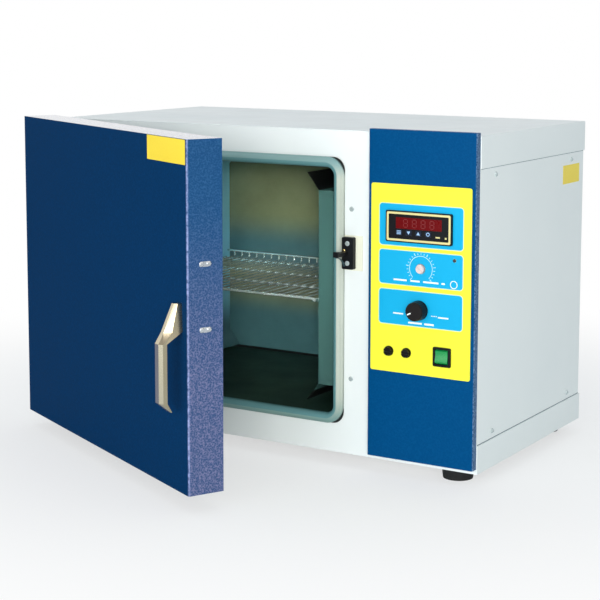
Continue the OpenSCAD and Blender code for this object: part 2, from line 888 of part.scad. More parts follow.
// How far a pressed key still stands out
key_rest = 0.2;
key_proud = key_travel + key_rest;
key_drop = 7.5;
key_shift = 7;
key_flange = 0.8;
window_rise = 4.5;
case_t = 1.5;

module key_places() {
  for (i = [0 : 3]) {
    translate([ctrl_x - key_shift + (i - 1.5) * key_pitch, 0, ctrl_z - key_drop]) children();
  }
}

module controller_case() {
  w = ctrl_w - 2 * ctrl_wall;
  h = ctrl_h - 2 * ctrl_wall;
  color("dimgrey") in_cabinet() translate([ctrl_x, 0, ctrl_z]) difference() {
    facing_front(plate_y, ctrl_deep) square([w, h], true);
    facing_front(plate_y - over, ctrl_deep - case_t + over) square([w - 2 * case_t, h - 2 * case_t], true);
  }
}

module controller_bezel() {
  y = plate_y - ctrl_proud;
  color("black") in_cabinet() difference() {
    translate([ctrl_x, 0, ctrl_z]) facing_front(y, ctrl_proud) rounded_mid(ctrl_w, ctrl_h, ctrl_r);
    translate([ctrl_x, 0, ctrl_z]) facing_front(y - over, over + key_proud)
      rounded_mid(ctrl_w - 2 * bezel_t - over, ctrl_h - 2 * bezel_t - over, ctrl_r);
    translate([ctrl_x, 0, ctrl_z]) facing_front(y + key_proud + bezel_t, ctrl_proud)
      square([ctrl_w - 2 * ctrl_wall, ctrl_h - 2 * ctrl_wall], true);
    translate([ctrl_x, 0, ctrl_z + window_rise]) facing_front(y, ctrl_proud)
      square([window_w, window_h], true);
    key_places() facing_front(y, ctrl_proud) square([key_w, key_h], true);
  }
}

module display_window() {
  color("darkred") in_cabinet() translate([ctrl_x, 0, ctrl_z + window_rise])
    facing_front(plate_y - ctrl_proud + key_proud, bezel_t) square([window_w, window_h], true);
}

// A key stands proud of the bezel's face and has a collar behind it
module control_key(i) {
  y = plate_y - ctrl_proud + key_proud;
  w = key_w - 2 * key_clear;
  h = key_h - 2 * key_clear;
  color("slategrey") in_cabinet()
    translate([ctrl_x - key_shift + (i - 1.5) * key_pitch, 0, ctrl_z - key_drop]) {
      facing_front(y - key_proud, key_proud + bezel_t + clear) square([w, h], true);
      facing_front(y + bezel_t + clear, key_flange)
        square([w + 2 * key_flange, h + 2 * key_flange], true);
    }
}

module key_1() { control_key(0); }
module key_2() { control_key(1); }
module key_3() { control_key(2); }
module key_4() { control_key(3); }

// Alarm dial: a potentiometer behind the plate, with a slotted trimmer head in front

trim_body_d = 17;
trim_body_l = 9;
trim_shaft_d = 6;
trim_nut_d = 13;
trim_nut_h = 1.2;
trim_head_h = 2.5;
trim_slot_turn = 40;

module alarm_dial_body() {
  color("silver") in_cabinet() translate([trim_x, 0, trim_z]) difference() {
    union() {
      bar_y(trim_bush_d, plate_y - trim_nut_h, fascia_y + sheet_t);
      bar_y(trim_nut_d, plate_y - trim_nut_h, plate_y);
      bar_y(trim_body_d, fascia_y + sheet_t, fascia_y + sheet_t + trim_body_l);
    }
    bar_y(trim_shaft_d + 2 * run, plate_y - trim_nut_h - over, fascia_y + sheet_t + trim_body_l - case_t);
  }
}

module alarm_trimmer() {
  y = plate_y - trim_nut_h - clear;
  slot_w = 1.4;
  color("mistyrose") in_cabinet() translate([trim_x, 0, trim_z]) difference() {
    union() {
      bar_y(trimmer_d, y - trim_head_h, y);
      bar_y(trim_shaft_d, y, fascia_y + sheet_t + trim_body_l - case_t - clear);
    }
    rotate([0, trim_slot_turn, 0]) translate([-trimmer_d / 2 - over, y - trim_head_h - over, -slot_w / 2])
      cube([trimmer_d + 2 * over, slot_w + over, slot_w]);
  }
}

module alarm_lamp() {
  lens = 0.6;
  tail = 7;
  color("maroon") in_cabinet() translate([lamp_x, 0, lamp_z]) {
    bar_y(lamp_d, plate_y - lens, fascia_y + sheet_t);
    translate([0, plate_y - lens, 0]) sphere(d = lamp_d);
    bar_y(lamp_d + 2 * lens, fascia_y + sheet_t, fascia_y + sheet_t + tail);
  }
}

// Fresh air: a knob turns a rod that carries a butterfly across the air pipe

knob_clear = 1;
knob_y = plate_y - knob_clear - knob_l;
knob_cap = 4;
damper_t = 1.2;
pipe_out = 24;

module air_knob() {
  pointer_w = 2;
  color("black") in_cabinet() translate([knob_x, 0, knob_z]) difference() {
    union() {
      bar_y(knob_d, knob_y + knob_cap, knob_y + knob_l);
      translate([0, knob_y + knob_cap, 0]) rotate([90, 0, 0])
        cylinder(h = knob_cap, d1 = knob_d - 2 * disc_t, d2 = knob_d - knob_cap);
    }
    bar_y(rod_r_d, knob_y + knob_cap, knob_y + knob_l + over);
    rotate([0, 45, 0]) translate([-knob_d, knob_y - over, -pointer_w / 2])
      cube([knob_d, over + damper_t, pointer_w]);
  }
}

// The rod is slotted where the butterfly sits in it
module air_rod() {
  color("silver") in_cabinet() translate([knob_x, 0, knob_z]) difference() {
    bar_y(rod_r_d, knob_y + knob_cap, pipe_y + pipe_d / 2 + rod_r_d);
    translate([0, pipe_y, 0]) bar_x(pipe_bore - 4 * clear, -damper_t / 2, damper_t / 2);
  }
}

// The butterfly is closed at rest, square to the pipe
module air_damper() {
  color("silver") in_cabinet() translate([knob_x, pipe_y, knob_z])
    bar_x(pipe_bore - 4 * clear, -damper_t / 2, damper_t / 2);
}

module fresh_air_pipe() {
  color("silver") in_cabinet() difference() {
    translate([0, pipe_y, knob_z]) difference() {
      bar_x(pipe_d, chamber_x2, knob_x + pipe_out);
      bar_x(pipe_bore, chamber_x2 - over, knob_x + pipe_out + over);
    }
    translate([knob_x, 0, knob_z]) bar_y(rod_r_d + 2 * run, pipe_y - pipe_d, pipe_y + pipe_d);
  }
}

// Mains switch: a frame with a rocker on a pin

frame_proud = 2;
rocker_w = 17;
rocker_gap = 0.4;
rocker_in = 5.5;
rocker_pin_d = 3;
switch_deep = 22;
switch_wall = 2;
rocker_r = switch_h / 2 - switch_lip - switch_wall / 2 - rocker_gap;

module mains_switch_frame() {
  y = plate_y - frame_proud;
  in_w = rocker_w + 2 * rocker_gap;
  in_h = 2 * rocker_r - rocker_gap;
  body_w = switch_w - 2 * switch_lip;
  body_h = switch_h - 2 * switch_lip;
  color("black") in_cabinet() translate([switch_x, 0, switch_z]) difference() {
    union() {
      facing_front(y, frame_proud) rounded_mid(switch_w, switch_h, switch_wall);
      facing_front(plate_y, switch_deep) square([body_w, body_h], true);
    }
    facing_front(y - over, frame_proud + over) square([in_w, in_h], true);
    facing_front(plate_y, switch_deep - switch_wall) square([in_w, 2 * (rocker_r + rocker_gap)], true);
    translate([0, y + rocker_in, 0]) bar_x(rocker_pin_d + 2 * run, -body_w / 2 + clear, body_w / 2 - clear);
  }
}

// The rocker's ends are round about its pin, and its face is a shallow hollow
module mains_switch_rocker() {
  face = rocker_in + over / 2;
  rise = 2;
  back = 2.5;
  pin_l = switch_w - 2 * switch_lip - 4 * clear;
  color("limegreen") in_cabinet()
    translate([switch_x, plate_y - frame_proud + rocker_in, switch_z]) rotate([-rocker_tilt / 2, 0, 0]) {
      facing_side(-rocker_w / 2, rocker_w) intersection() {
        circle(rocker_r);
        polygon([
          [back, -rocker_r], [back, rocker_r], [-face - rise, rocker_r], [-face, 0], [-face - rise, -rocker_r]
        ]);
      }
      bar_x(rocker_pin_d, -pin_l / 2, pin_l / 2);
    }
}

// Fuse holders and their caps

fuse_lip = 1.5;
fuse_deep = 38;
fuse_bore = 8;
fuse_cap_l = 3.6;
fuse_cap_stem = 14;

module fuse_holders() {
  color("black") in_cabinet() for (i = [0, 1]) {
    translate([fuse_x + i * fuse_pitch, 0, fuse_z]) difference() {
      union() {
        bar_y(fuse_d, plate_y - fuse_lip, plate_y);
        bar_y(fuse_body_d, plate_y, plate_y + fuse_deep);
      }
      bar_y(fuse_bore + 2 * run, plate_y - fuse_lip - over, plate_y + fuse_deep - fuse_lip);
    }
  }
}

module fuse_cap(i) {
  y = plate_y - fuse_lip - clear;
  slot_w = 1.4;
  color("black") in_cabinet() translate([fuse_x + i * fuse_pitch, 0, fuse_z]) difference() {
    union() {
      bar_y(fuse_cap_d, y - fuse_cap_l, y);
      bar_y(fuse_bore, y, y + fuse_cap_stem);
    }
    translate([-fuse_cap_d / 2 - over, y - fuse_cap_l - over, -slot_w / 2])
      cube([fuse_cap_d + 2 * over, slot_w + over, slot_w]);
  }
}

module fuse_cap_1() { fuse_cap(0); }
module fuse_cap_2() { fuse_cap(1); }

// Electrics inside the column and on the back

board_w = 96;
board_deep = 110;
board_t = 1.6;
board_stand = 8;
board_edge = 7;
transformer_w = 40;
transformer_deep = 34;
transformer_h = 36;
relay_w = 16;
relay_deep = 28;
relay_h = 16;

module power_board() {
  x = partition_x + sheet_t + board_edge;
  y = cab_d / 2 - board_edge;
  board = [board_w, board_deep, board_t];
  transformer = [transformer_w, transformer_deep, transformer_h];
  relay = [relay_w, relay_deep, relay_h];
  edge = board_edge;
  stand = board_stand;
  color("seagreen") in_cabinet() translate([x, y, sheet_t]) {
    for (a = [edge, board.x - edge], b = [edge, board.y - edge]) {
      translate([a, b, 0]) cylinder(h = stand, d = edge);
    }
    translate([0, 0, stand]) cube(board);
    translate([edge, edge, stand + board.z]) cube(transformer);
    for (i = [0 : 2]) {
      translate([edge + i * (relay.x + edge), board.y - edge - relay.y, stand + board.z]) cube(relay);
    }
  }
}

module mains_inlet() {
  y2 = cab_d - sheet_t;
  well_w = inlet_w - 4 * inlet_lip;
  well_h = inlet_h - 2.5 * inlet_lip;
  pin = [inlet_pin_t, inlet_pin_l, inlet_pin_h];
  color("black") in_cabinet() translate([vent_x, 0, inlet_z]) {
    difference() {
      union() {
        facing_front(y2 - inlet_deep, inlet_deep) rounded_mid(inlet_w, inlet_h, inlet_r);
        facing_front(y2, inlet_lip)
          rounded_mid(inlet_w + 2 * inlet_flange, inlet_h + inlet_flange, inlet_r);
      }
      facing_front(y2 - inlet_deep + inlet_lip, inlet_deep + over) rounded_mid(well_w, well_h, inlet_r);
    }
    for (i = [-1 : 1]) {
      translate([i * well_w / 4 - pin.x / 2, y2 - inlet_deep + inlet_lip, i == 0 ? 0 : -pin.z]) cube(pin);
    }
  }
}

module exhaust_port() {
  y2 = cab_d - sheet_t;
  d = port_bore + 2 * port_t;
  color("silver") in_cabinet() translate([port_x, 0, port_z]) difference() {
    union() {
      bar_y(d, chamber_d, y2 + port_out);
      bar_y(d + 2 * port_collar, y2, y2 + port_t);
    }
    bar_y(port_bore, chamber_d - over, y2 + port_out + over);
  }
}

// Latch: a strike with a tongue on the cabinet, and a bowed leaf spring under the tongue

strike_y2 = -sheet_t;
strike_t = 7;
strike_y1 = strike_y2 - strike_t;
strike_x = chamber_x2 + gasket_w;
strike_z = strike_mid - strike_h / 2;
strike_r = 2;
// From the strike's ends to its screws
strike_screw_in = 8;
packer_over = 10;
tongue_in = 2;
tongue_x = strike_x + tongue_in;
tongue_head = 2;
tongue_tip = 5;
tongue_y = strike_y1 - tongue_reach;
leaf_thick = 0.8;
leaf_r = 24;
leaf_drop = 1;
leaf_to_screw = 0.3;
// The leaf ends beside the strike's lower screw
leaf_width = strike_w / 2 - screw_d / 2 - tongue_in - leaf_to_screw;

module latch_strike() {
  color("black") in_cabinet() {
    facing_front(strike_y1, strike_t) translate([strike_x, strike_z]) rounded(strike_w, strike_h, strike_r);
    translate([tongue_x, tongue_y, strike_mid - tongue_t / 2]) cube([tongue_w, tongue_reach, tongue_t]);
    translate([tongue_x, tongue_y, strike_mid - tongue_t / 2])
      cube([tongue_w, tongue_tip, tongue_t + tongue_head]);
  }
}

module latch_packer() {
  color("white") in_cabinet()
    translate([strike_x, -sheet_t, strike_z - strike_r])
      cube([strike_w + packer_over, sheet_t, strike_h + 2 * strike_r]);
}

module latch_spring() {
  mid_y = strike_y1 - tongue_reach + tongue_tip;
  mid_z = strike_mid - tongue_t / 2 - leaf_drop - leaf_r;
  color("silver") in_cabinet() translate([0, mid_y, mid_z]) facing_side(tongue_x, leaf_width) intersection() {
    difference() {
      circle(leaf_r);
      circle(leaf_r - leaf_thick);
    }
    square([strike_y1 - mid_y, leaf_r]);
  }
}

// Hinges: leaves on the cabinet's side and on the door's edge, each with a loose pin

knuckle_gap = 0.4;
leaf_back = 8.5;
pin_head = 2;

module hinge_heights() {
  for (z = [hinge_low, cab_h - hinge_low]) {
    translate([hinge_x, hinge_y, z]) children();
  }
}

module cabinet_hinge_leaves() {
  k = hinge_h / 3;
  color("silver") in_cabinet() hinge_heights() {
    difference() {
      union() {
        for (z = [-hinge_h / 2, hinge_h / 2 - k]) {
          translate([0, 0, z]) {
            cylinder(h = k, d = barrel_d);
            translate([barrel_d / 2 - leaf_t, 0, 0]) cube([2 * leaf_t, -hinge_y, k]);
            translate([barrel_d / 2, 0, 0]) cube([leaf_t, leaf_w, k]);
          }
        }
        translate([barrel_d / 2, barrel_d / 4, -hinge_h / 2]) cube([leaf_t, leaf_w - barrel_d / 4, hinge_h]);
      }
      translate([0, 0, -hinge_h / 2 - over]) cylinder(h = hinge_h + 2 * over, d = hinge_pin_d);
    }
  }
}

module hinge_pins() {
  color("silver") in_cabinet() hinge_heights() {
    translate([0, 0, -hinge_h / 2]) cylinder(h = hinge_h, d = hinge_pin_d);
    for (z = [-hinge_h / 2 - pin_head, hinge_h / 2]) {
      translate([0, 0, z]) cylinder(h = pin_head, d = barrel_d - 2 * pin_head);
    }
  }
}

module door_hinge_leaves() {
  k = hinge_h / 3 - 2 * knuckle_gap;
  plate_dx = door_x1 - leaf_t - hinge_x;
  color("silver") on_door() hinge_heights() difference() {
    union() {
      translate([0, 0, -k / 2]) cylinder(h = k, d = barrel_d);
      translate([plate_dx, -leaf_back - leaf_t, -k / 2]) cube([leaf_t, leaf_back + leaf_t, k]);
      translate([plate_dx, -leaf_w - leaf_back, -hinge_h / 2]) cube([leaf_t, leaf_w, hinge_h]);
    }
    translate([0, 0, -hinge_h]) cylinder(h = 2 * hinge_h, d = hinge_pin_d + 2 * run);
  }
}

// Feet

foot_taper = 4;
foot_screw_d = 12;
foot_screw_h = 3;

module rubber_feet() {
  color("black") in_cabinet() {
    for (x = [foot_in_x, cab_w - foot_in_x], y = [foot_in_y, cab_d - foot_in_y]) {
      translate([x, y, -foot_h]) difference() {
        cylinder(h = foot_h, d1 = foot_d - foot_taper, d2 = foot_d);
        translate([0, 0, -over]) cylinder(h = foot_screw_h + over, d = foot_screw_d);
      }
    }
  }
}

// Door

module door_outline(grow) {
  w = door_x2 - door_x1 - 2 * grow;
  d = door_t - grow;
  r = door_r - grow;
  translate([door_x1 + grow, door_y1 + grow]) {
    translate([0, r]) square([w, d - r]);
    translate([r, 0]) square([w - 2 * r, r]);
    for (x = [r, w - r]) {
      translate([x, r]) circle(r);
    }
  }
}

module door_shell() {
  t = door_sheet;
  color("midnightblue") on_door() difference() {
    translate([0, 0, door_z1]) linear_extrude(door_z2 - door_z1) door_outline(0);
    translate([0, 0, door_z1 + t]) linear_extrude(door_z2 - door_z1 - 2 * t) {
      door_outline(t);
      translate([door_x1 + t, door_y2 - over]) square([door_x2 - door_x1 - 2 * t, 2 * over]);
    }
  }
}

// The catch: a sleeve in the door that swallows the tongue and its spring
catch_gap = 3;
catch_t = 1.5;
catch_below = 20;
catch_above = 10;
catch_spare = 6;
catch_x = tongue_x - catch_gap;
catch_w = tongue_w + 2 * catch_gap;
catch_z = strike_mid - catch_below;
catch_h = catch_below + catch_above;
catch_deep = tongue_reach + catch_spare;

module catch_hole(grow, y1, y2) {
  translate([catch_x - grow, y1, catch_z - grow]) cube([catch_w + 2 * grow, y2 - y1, catch_h + 2 * grow]);
}

// Pressed field of the inner panel, inside the gasket
field_in = 8;
field_r = 16;

module door_inner_panel() {
  t = door_sheet;
  w = chamber_w - 2 * field_in;
  h = chamber_h - 2 * field_in;
  color("silver") on_door() difference() {
    union() {
      translate([door_x1 + t, door_y2 - t, door_z1 + t])
        cube([door_x2 - door_x1 - 2 * t, t, door_z2 - door_z1 - 2 * t]);
      facing_front(door_y2, inner_rise) translate([side_wall + field_in, floor_wall + field_in])
        rounded(w, h, field_r);
    }
    facing_front(door_y2 - t - over, inner_rise + over)
      translate([side_wall + field_in + t, floor_wall + field_in + t])
        rounded(w - 2 * t, h - 2 * t, field_r - t);
    catch_hole(catch_t, door_y2 - t - over, door_y2 + over);
  }
}

module door_insulation() {
  t = door_sheet;
  color("khaki") on_door() difference() {
    translate([door_x1 + t, door_y1 + door_r, door_z1 + t])
      cube([door_x2 - door_x1 - 2 * t, door_t - door_r - t, door_z2 - door_z1 - 2 * t]);
    catch_hole(catch_t, door_y2 - catch_deep - catch_t, door_y2 + over);
  }
}

module door_catch() {
  color("dimgrey") on_door() difference() {
    catch_hole(catch_t, door_y2 - catch_deep - catch_t, door_y2);
    catch_hole(0, door_y2 - catch_deep, door_y2 + over);
  }
}

// Screws in the door's free edge, one at the catch and one at the handle
edge_screw_above = 16;
edge_screw_below = 63;
edge_screw_z = [strike_mid + edge_screw_above, strike_mid - edge_screw_below];

// Oblong plugs in the free edge, each with two small heads
plug_w = 16;
plug_t = 0.8;

module door_edge_screws() {
  color("silver") on_door() for (z = edge_screw_z) {
    translate([door_x2, (door_y1 + door_y2) / 2, z]) rotate([90, 0, 90]) {
      linear_extrude(plug_t) translate([-plug_w / 2, -screw_d / 2])
        rounded(plug_w, screw_d, screw_d / 2 - weld);
      for (x = [-1, 1]) {
        translate([x * (plug_w - screw_d) / 2, 0, plug_t - weld]) screw_head();
      }
    }
  }
}

// Handle: a bar with wide bevels, led from a long upper foot down to a thin free end
bevel_share = 0.4;
side_share = 0.26;
low_bend_share = 0.09;
high_bend_share = 0.64;
foot_share = 0.74;
foot_depth_share = 0.76;
top_depth_share = 0.3;
// Width left at the bar's top end
top_width_share = 0.55;
// How far the free lower end stays off the door
handle_tip_gap = 15;
// Thickness of the slices between which the bar is drawn
slice_t = 0.01;

module bar_section(width, depth) {
  edge = width / 2;
  flat = edge - side_share * width;
  low = depth - bevel_share * depth;
  polygon([[-edge, 0], [edge, 0], [edge, low], [flat, depth], [-flat, depth], [-edge, low]]);
}

// A thin slice of the bar at height z, standing off the door by the given gap
module handle_slice(gap, width, depth, z) {
  translate([0, door_y1 - gap, z]) mirror([0, 1, 0]) linear_extrude(slice_t) bar_section(width, depth);
}

module door_handle() {
  z0 = handle_low;
  z3 = handle_low + handle_h;
  low_bend = handle_h * low_bend_share;
  high_bend = handle_h * high_bend_share;
  foot = handle_h * foot_share;
  grip_gap = handle_reach - handle_t;
  top_w = handle_w * top_width_share;
  foot_w = (handle_w + top_w) / 2;
  color("silver") on_door() translate([door_x2 - handle_in, 0, 0]) {
    hull() {
      handle_slice(handle_tip_gap, foot_w, handle_t / 4, z0);
      handle_slice(grip_gap, handle_w, handle_t, z0 + low_bend);
    }
    hull() {
      handle_slice(grip_gap, handle_w, handle_t, z0 + low_bend);
      handle_slice(grip_gap, handle_w, handle_t, z0 + high_bend);
    }
    hull() {
      handle_slice(grip_gap, handle_w, handle_t, z0 + high_bend);
      handle_slice(0, foot_w, handle_reach * foot_depth_share, z0 + foot);
    }
    hull() {
      handle_slice(0, foot_w, handle_reach * foot_depth_share, z0 + foot);
      handle_slice(0, top_w, handle_reach * top_depth_share, z3);
    }
  }
}

top_cover();
base_tray();
left_side_panel();
right_side_panel();
rear_panel();
front_frame();
chamber_liner();
chamber_insulation();
partition_wall();
door_gasket();
left_duct_cover();
right_duct_cover();
shelf_runners();
wire_shelf();
heater_hairpins();
temperature_probe();
shaft_sleeve();
fan_motor();
fan_motor_posts();
fan_shaft();
fan_wheel();
cooling_disc();
control_column();
front_plate();
controller_case();
controller_bezel();
display_window();
key_1();
key_2();
key_3();
key_4();
alarm_dial_body();
alarm_trimmer();
alarm_lamp();
air_knob();
air_rod();
air_damper();
fresh_air_pipe();
mains_switch_frame();
mains_switch_rocker();
fuse_holders();
fuse_cap_1();
fuse_cap_2();
power_board();
mains_inlet();
exhaust_port();
latch_strike();
latch_packer();
latch_spring();
cabinet_screws();
cabinet_hinge_leaves();
hinge_pins();
rubber_feet();
door_shell();
door_inner_panel();
door_insulation();
door_catch();
door_handle();
door_hinge_leaves();
door_edge_screws();
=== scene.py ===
import json
import math
import bpy
from mathutils import Matrix, Vector


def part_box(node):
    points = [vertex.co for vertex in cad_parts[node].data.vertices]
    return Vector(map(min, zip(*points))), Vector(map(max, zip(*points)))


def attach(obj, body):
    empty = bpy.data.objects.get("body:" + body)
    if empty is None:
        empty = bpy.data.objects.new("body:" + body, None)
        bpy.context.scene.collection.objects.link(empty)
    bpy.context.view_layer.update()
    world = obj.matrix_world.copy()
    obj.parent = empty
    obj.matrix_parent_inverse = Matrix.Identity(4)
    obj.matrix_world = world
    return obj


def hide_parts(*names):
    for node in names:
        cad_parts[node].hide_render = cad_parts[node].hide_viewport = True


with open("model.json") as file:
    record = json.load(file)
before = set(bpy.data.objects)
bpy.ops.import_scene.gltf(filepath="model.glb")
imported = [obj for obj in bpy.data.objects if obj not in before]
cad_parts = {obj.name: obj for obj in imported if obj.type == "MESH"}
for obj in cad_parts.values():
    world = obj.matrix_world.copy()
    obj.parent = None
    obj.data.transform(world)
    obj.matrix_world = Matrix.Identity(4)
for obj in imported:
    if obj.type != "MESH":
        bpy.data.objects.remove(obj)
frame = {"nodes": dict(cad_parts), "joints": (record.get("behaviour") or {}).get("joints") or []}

scene = bpy.context.scene
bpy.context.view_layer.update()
nodes = frame["nodes"]

# Camera.
# Set from the photo's own corners: about 2.5 m away at the right front, slightly above the oven.
camera_data = bpy.data.cameras.new("camera")
camera = bpy.data.objects.new("camera", camera_data)
scene.collection.objects.link(camera)
scene.camera = camera
image_side, sensor = 600, 36
focal, middle_x, middle_y = 1600.6, 314.2, 208.4
camera_place = (1.1767, -1.9656, 0.5940)
yaw, pitch, roll = 0.5442, 0.1202, 0.0024
ahead = Vector((-math.sin(yaw) * math.cos(pitch), math.cos(yaw) * math.cos(pitch), -math.sin(pitch)))
flat_right = Vector((math.cos(yaw), math.sin(yaw), 0))
flat_up = flat_right.cross(ahead)
right = flat_right * math.cos(roll) + flat_up * math.sin(roll)
up = flat_up * math.cos(roll) - flat_right * math.sin(roll)
turn = Matrix((right, up, -ahead)).transposed().to_4x4()
camera.matrix_world = Matrix.Translation(camera_place) @ turn
camera_data.sensor_width = sensor
camera_data.lens = focal / image_side * sensor
camera_data.shift_x = (image_side / 2 - middle_x) / image_side
camera_data.shift_y = (middle_y - image_side / 2) / image_side
camera_data.clip_end = 60


# Stage.
# A pale floor that fades to white for the camera and keeps the oven's shadow, under soft lamps.
# Two of them light only some pieces: one shines into the chamber, one on the casing's front.
def linear(r, g, b):
    return tuple((v / 255 / 12.92 if v <= 10 else ((v / 255 + 0.055) / 1.055) ** 2.4)
                 for v in (r, g, b)) + (1,)


world = bpy.data.worlds.new("studio")
scene.world = world
world.use_nodes = True
tree = world.node_tree
tree.nodes.clear()
path = tree.nodes.new("ShaderNodeLightPath")
seen = path.outputs["Is Camera Ray"]
for kind in ("Is Transmission Ray", "Is Glossy Ray"):
    both = tree.nodes.new("ShaderNodeMath")
    both.operation = "MAXIMUM"
    tree.links.new(seen, both.inputs[0])
    tree.links.new(path.outputs[kind], both.inputs[1])
    seen = both.outputs[0]
glow = tree.nodes.new("ShaderNodeBackground")
glow.inputs["Color"].default_value = linear(222, 232, 238)
glow.inputs["Strength"].default_value = 0.62
white = tree.nodes.new("ShaderNodeBackground")
white.inputs["Color"].default_value = (1, 1, 1, 1)
white.inputs["Strength"].default_value = 1
either = tree.nodes.new("ShaderNodeMixShader")
tree.links.new(seen, either.inputs[0])
tree.links.new(glow.outputs[0], either.inputs[1])
tree.links.new(white.outputs[0], either.inputs[2])
out = tree.nodes.new("ShaderNodeOutputWorld")
tree.links.new(either.outputs[0], out.inputs["Surface"])


def lamp(name, place, target, width, height, power, tint, spread=math.pi):
    data = bpy.data.lights.new(name, "AREA")
    data.shape = "RECTANGLE"
    data.size = width
    data.size_y = height
    data.energy = power
    data.spread = spread
    data.color = linear(*tint)[:3]
    obj = bpy.data.objects.new(name, data)
    scene.collection.objects.link(obj)
    obj.location = place
    obj.rotation_euler = (Vector(target) - Vector(place)).to_track_quat("-Z", "Y").to_euler()
    return obj


lamp("key_lamp", (1.3, -2.25, 0.54), (0, 0, 0.2), 1.3, 1.0, 31, (255, 252, 246))
lamp("fill_lamp", (-0.1, -2.6, 0.5), (0, 0, 0.18), 1.4, 1.2, 20, (246, 250, 255))
chamber_lamp = lamp("chamber_lamp", (1.02, -1.75, 0.58), (-0.04, 0.0, 0.23), 0.3, 0.3, 0.66, (255, 252, 244),
                    math.radians(16))
lit_inside = bpy.data.collections.new("lit_inside")
for name in ("chamber_liner", "left_duct_cover", "right_duct_cover", "shelf_runners", "wire_shelf"):
    lit_inside.objects.link(nodes[name])
chamber_lamp.light_linking.receiver_collection = lit_inside
casing_lamp = lamp("casing_lamp", (-0.9, -2.2, 0.5), (-0.1, -0.17, 0.22), 0.9, 0.9, 5, (246, 250, 255))
lit_casing = bpy.data.collections.new("lit_casing")
for name in ("front_frame", "top_cover", "base_tray"):
    lit_casing.objects.link(nodes[name])
casing_lamp.light_linking.receiver_collection = lit_casing
casing_lamp.light_linking.blocker_collection = lit_casing
lamp("top_lamp", (-0.4, 0.2, 2.6), (0, 0, 0.3), 2.0, 2.0, 6, (238, 246, 255))

floor_mesh = bpy.data.meshes.new("floor")
near, far = -9, 14
floor_mesh.from_pydata([(near, near, 0), (-near, near, 0), (-near, far, 0), (near, far, 0)], [],
        [(0, 1, 2, 3)])
floor = bpy.data.objects.new("floor", floor_mesh)
scene.collection.objects.link(floor)
floor_gap = 0.0002
floor.location.z = -floor_gap
floor_paint = bpy.data.materials.new("floor_paint")
floor_paint.use_nodes = True
tree = floor_paint.node_tree
shaded = tree.nodes["Principled BSDF"]
shaded.inputs["Base Color"].default_value = linear(245, 247, 248)
shaded.inputs["Roughness"].default_value = 0.9
shaded.inputs["Specular IOR Level"].default_value = 0.1
lit = tree.nodes.new("ShaderNodeEmission")
lit.inputs["Strength"].default_value = 1
path = tree.nodes.new("ShaderNodeLightPath")
away = tree.nodes.new("ShaderNodeVectorMath")
away.operation = "LENGTH"
tree.links.new(tree.nodes.new("ShaderNodeTexCoord").outputs["Object"], away.inputs[0])
fade = tree.nodes.new("ShaderNodeMapRange")
fade.interpolation_type = "SMOOTHSTEP"
for socket, value in (("From Min", 0.3), ("From Max", 1.1), ("To Min", 0.6), ("To Max", 1.0)):
    fade.inputs[socket].default_value = value
tree.links.new(away.outputs["Value"], fade.inputs["Value"])
share = tree.nodes.new("ShaderNodeMath")
share.operation = "MULTIPLY"
tree.links.new(fade.outputs["Result"], share.inputs[1])
tree.links.new(path.outputs["Is Camera Ray"], share.inputs[0])
both = tree.nodes.new("ShaderNodeMixShader")
tree.links.new(share.outputs[0], both.inputs[0])
tree.links.new(shaded.outputs[0], both.inputs[1])
tree.links.new(lit.outputs[0], both.inputs[2])
tree.links.new(both.outputs[0], tree.nodes["Material Output"].inputs["Surface"])
floor_mesh.materials.append(floor_paint)


# White casing: top cover, base tray, side and rear panels, front frame.
# Folded steel sheet, powder-coated white with a fine grain, its folds softly rounded.
def group(name, inputs, outputs):
    made = bpy.data.node_groups.new(name, "ShaderNodeTree")
    for socket, kind, value in inputs:
        item = made.interface.new_socket(socket, in_out="INPUT", socket_type="NodeSocket" + kind)
        item.default_value = value
    for socket, kind in outputs:
        made.interface.new_socket(socket, in_out="OUTPUT", socket_type="NodeSocket" + kind)
    return made, made.nodes.new("NodeGroupInput"), made.nodes.new("NodeGroupOutput")


def noise(tree, vector, scale, detail=2.0, rough=0.5):
    node = tree.nodes.new("ShaderNodeTexNoise")
    node.inputs["Detail"].default_value = detail
    node.inputs["Roughness"].default_value = rough
    tree.links.new(vector, node.inputs["Vector"])
    if isinstance(scale, (int, float)):
        node.inputs["Scale"].default_value = scale
    else:
        tree.links.new(scale, node.inputs["Scale"])
    return node.outputs["Fac"]


def math_node(tree, operation, a, b, clamp=False):
    node = tree.nodes.new("ShaderNodeMath")
    node.operation = operation
    node.use_clamp = clamp
    for socket, value in zip(node.inputs, (a, b)):
        if isinstance(value, (int, float)):
            socket.default_value = value
        else:
            tree.links.new(value, socket)
    return node.outputs[0]


def mix_colour(tree, factor, a, b):
    node = tree.nodes.new("ShaderNodeMix")
    node.data_type = "RGBA"
    for socket, value in ((node.inputs["Factor"], factor), (node.inputs[6], a), (node.inputs[7], b)):
        if hasattr(value, "is_linked"):
            tree.links.new(value, socket)
        else:
            socket.default_value = value
    return node.outputs[2]


def steps(tree, value, low, high):
    node = tree.nodes.new("ShaderNodeMapRange")
    node.inputs["From Min"].default_value = low
    node.inputs["From Max"].default_value = high
    tree.links.new(value, node.inputs["Value"])
    return node.outputs["Result"]


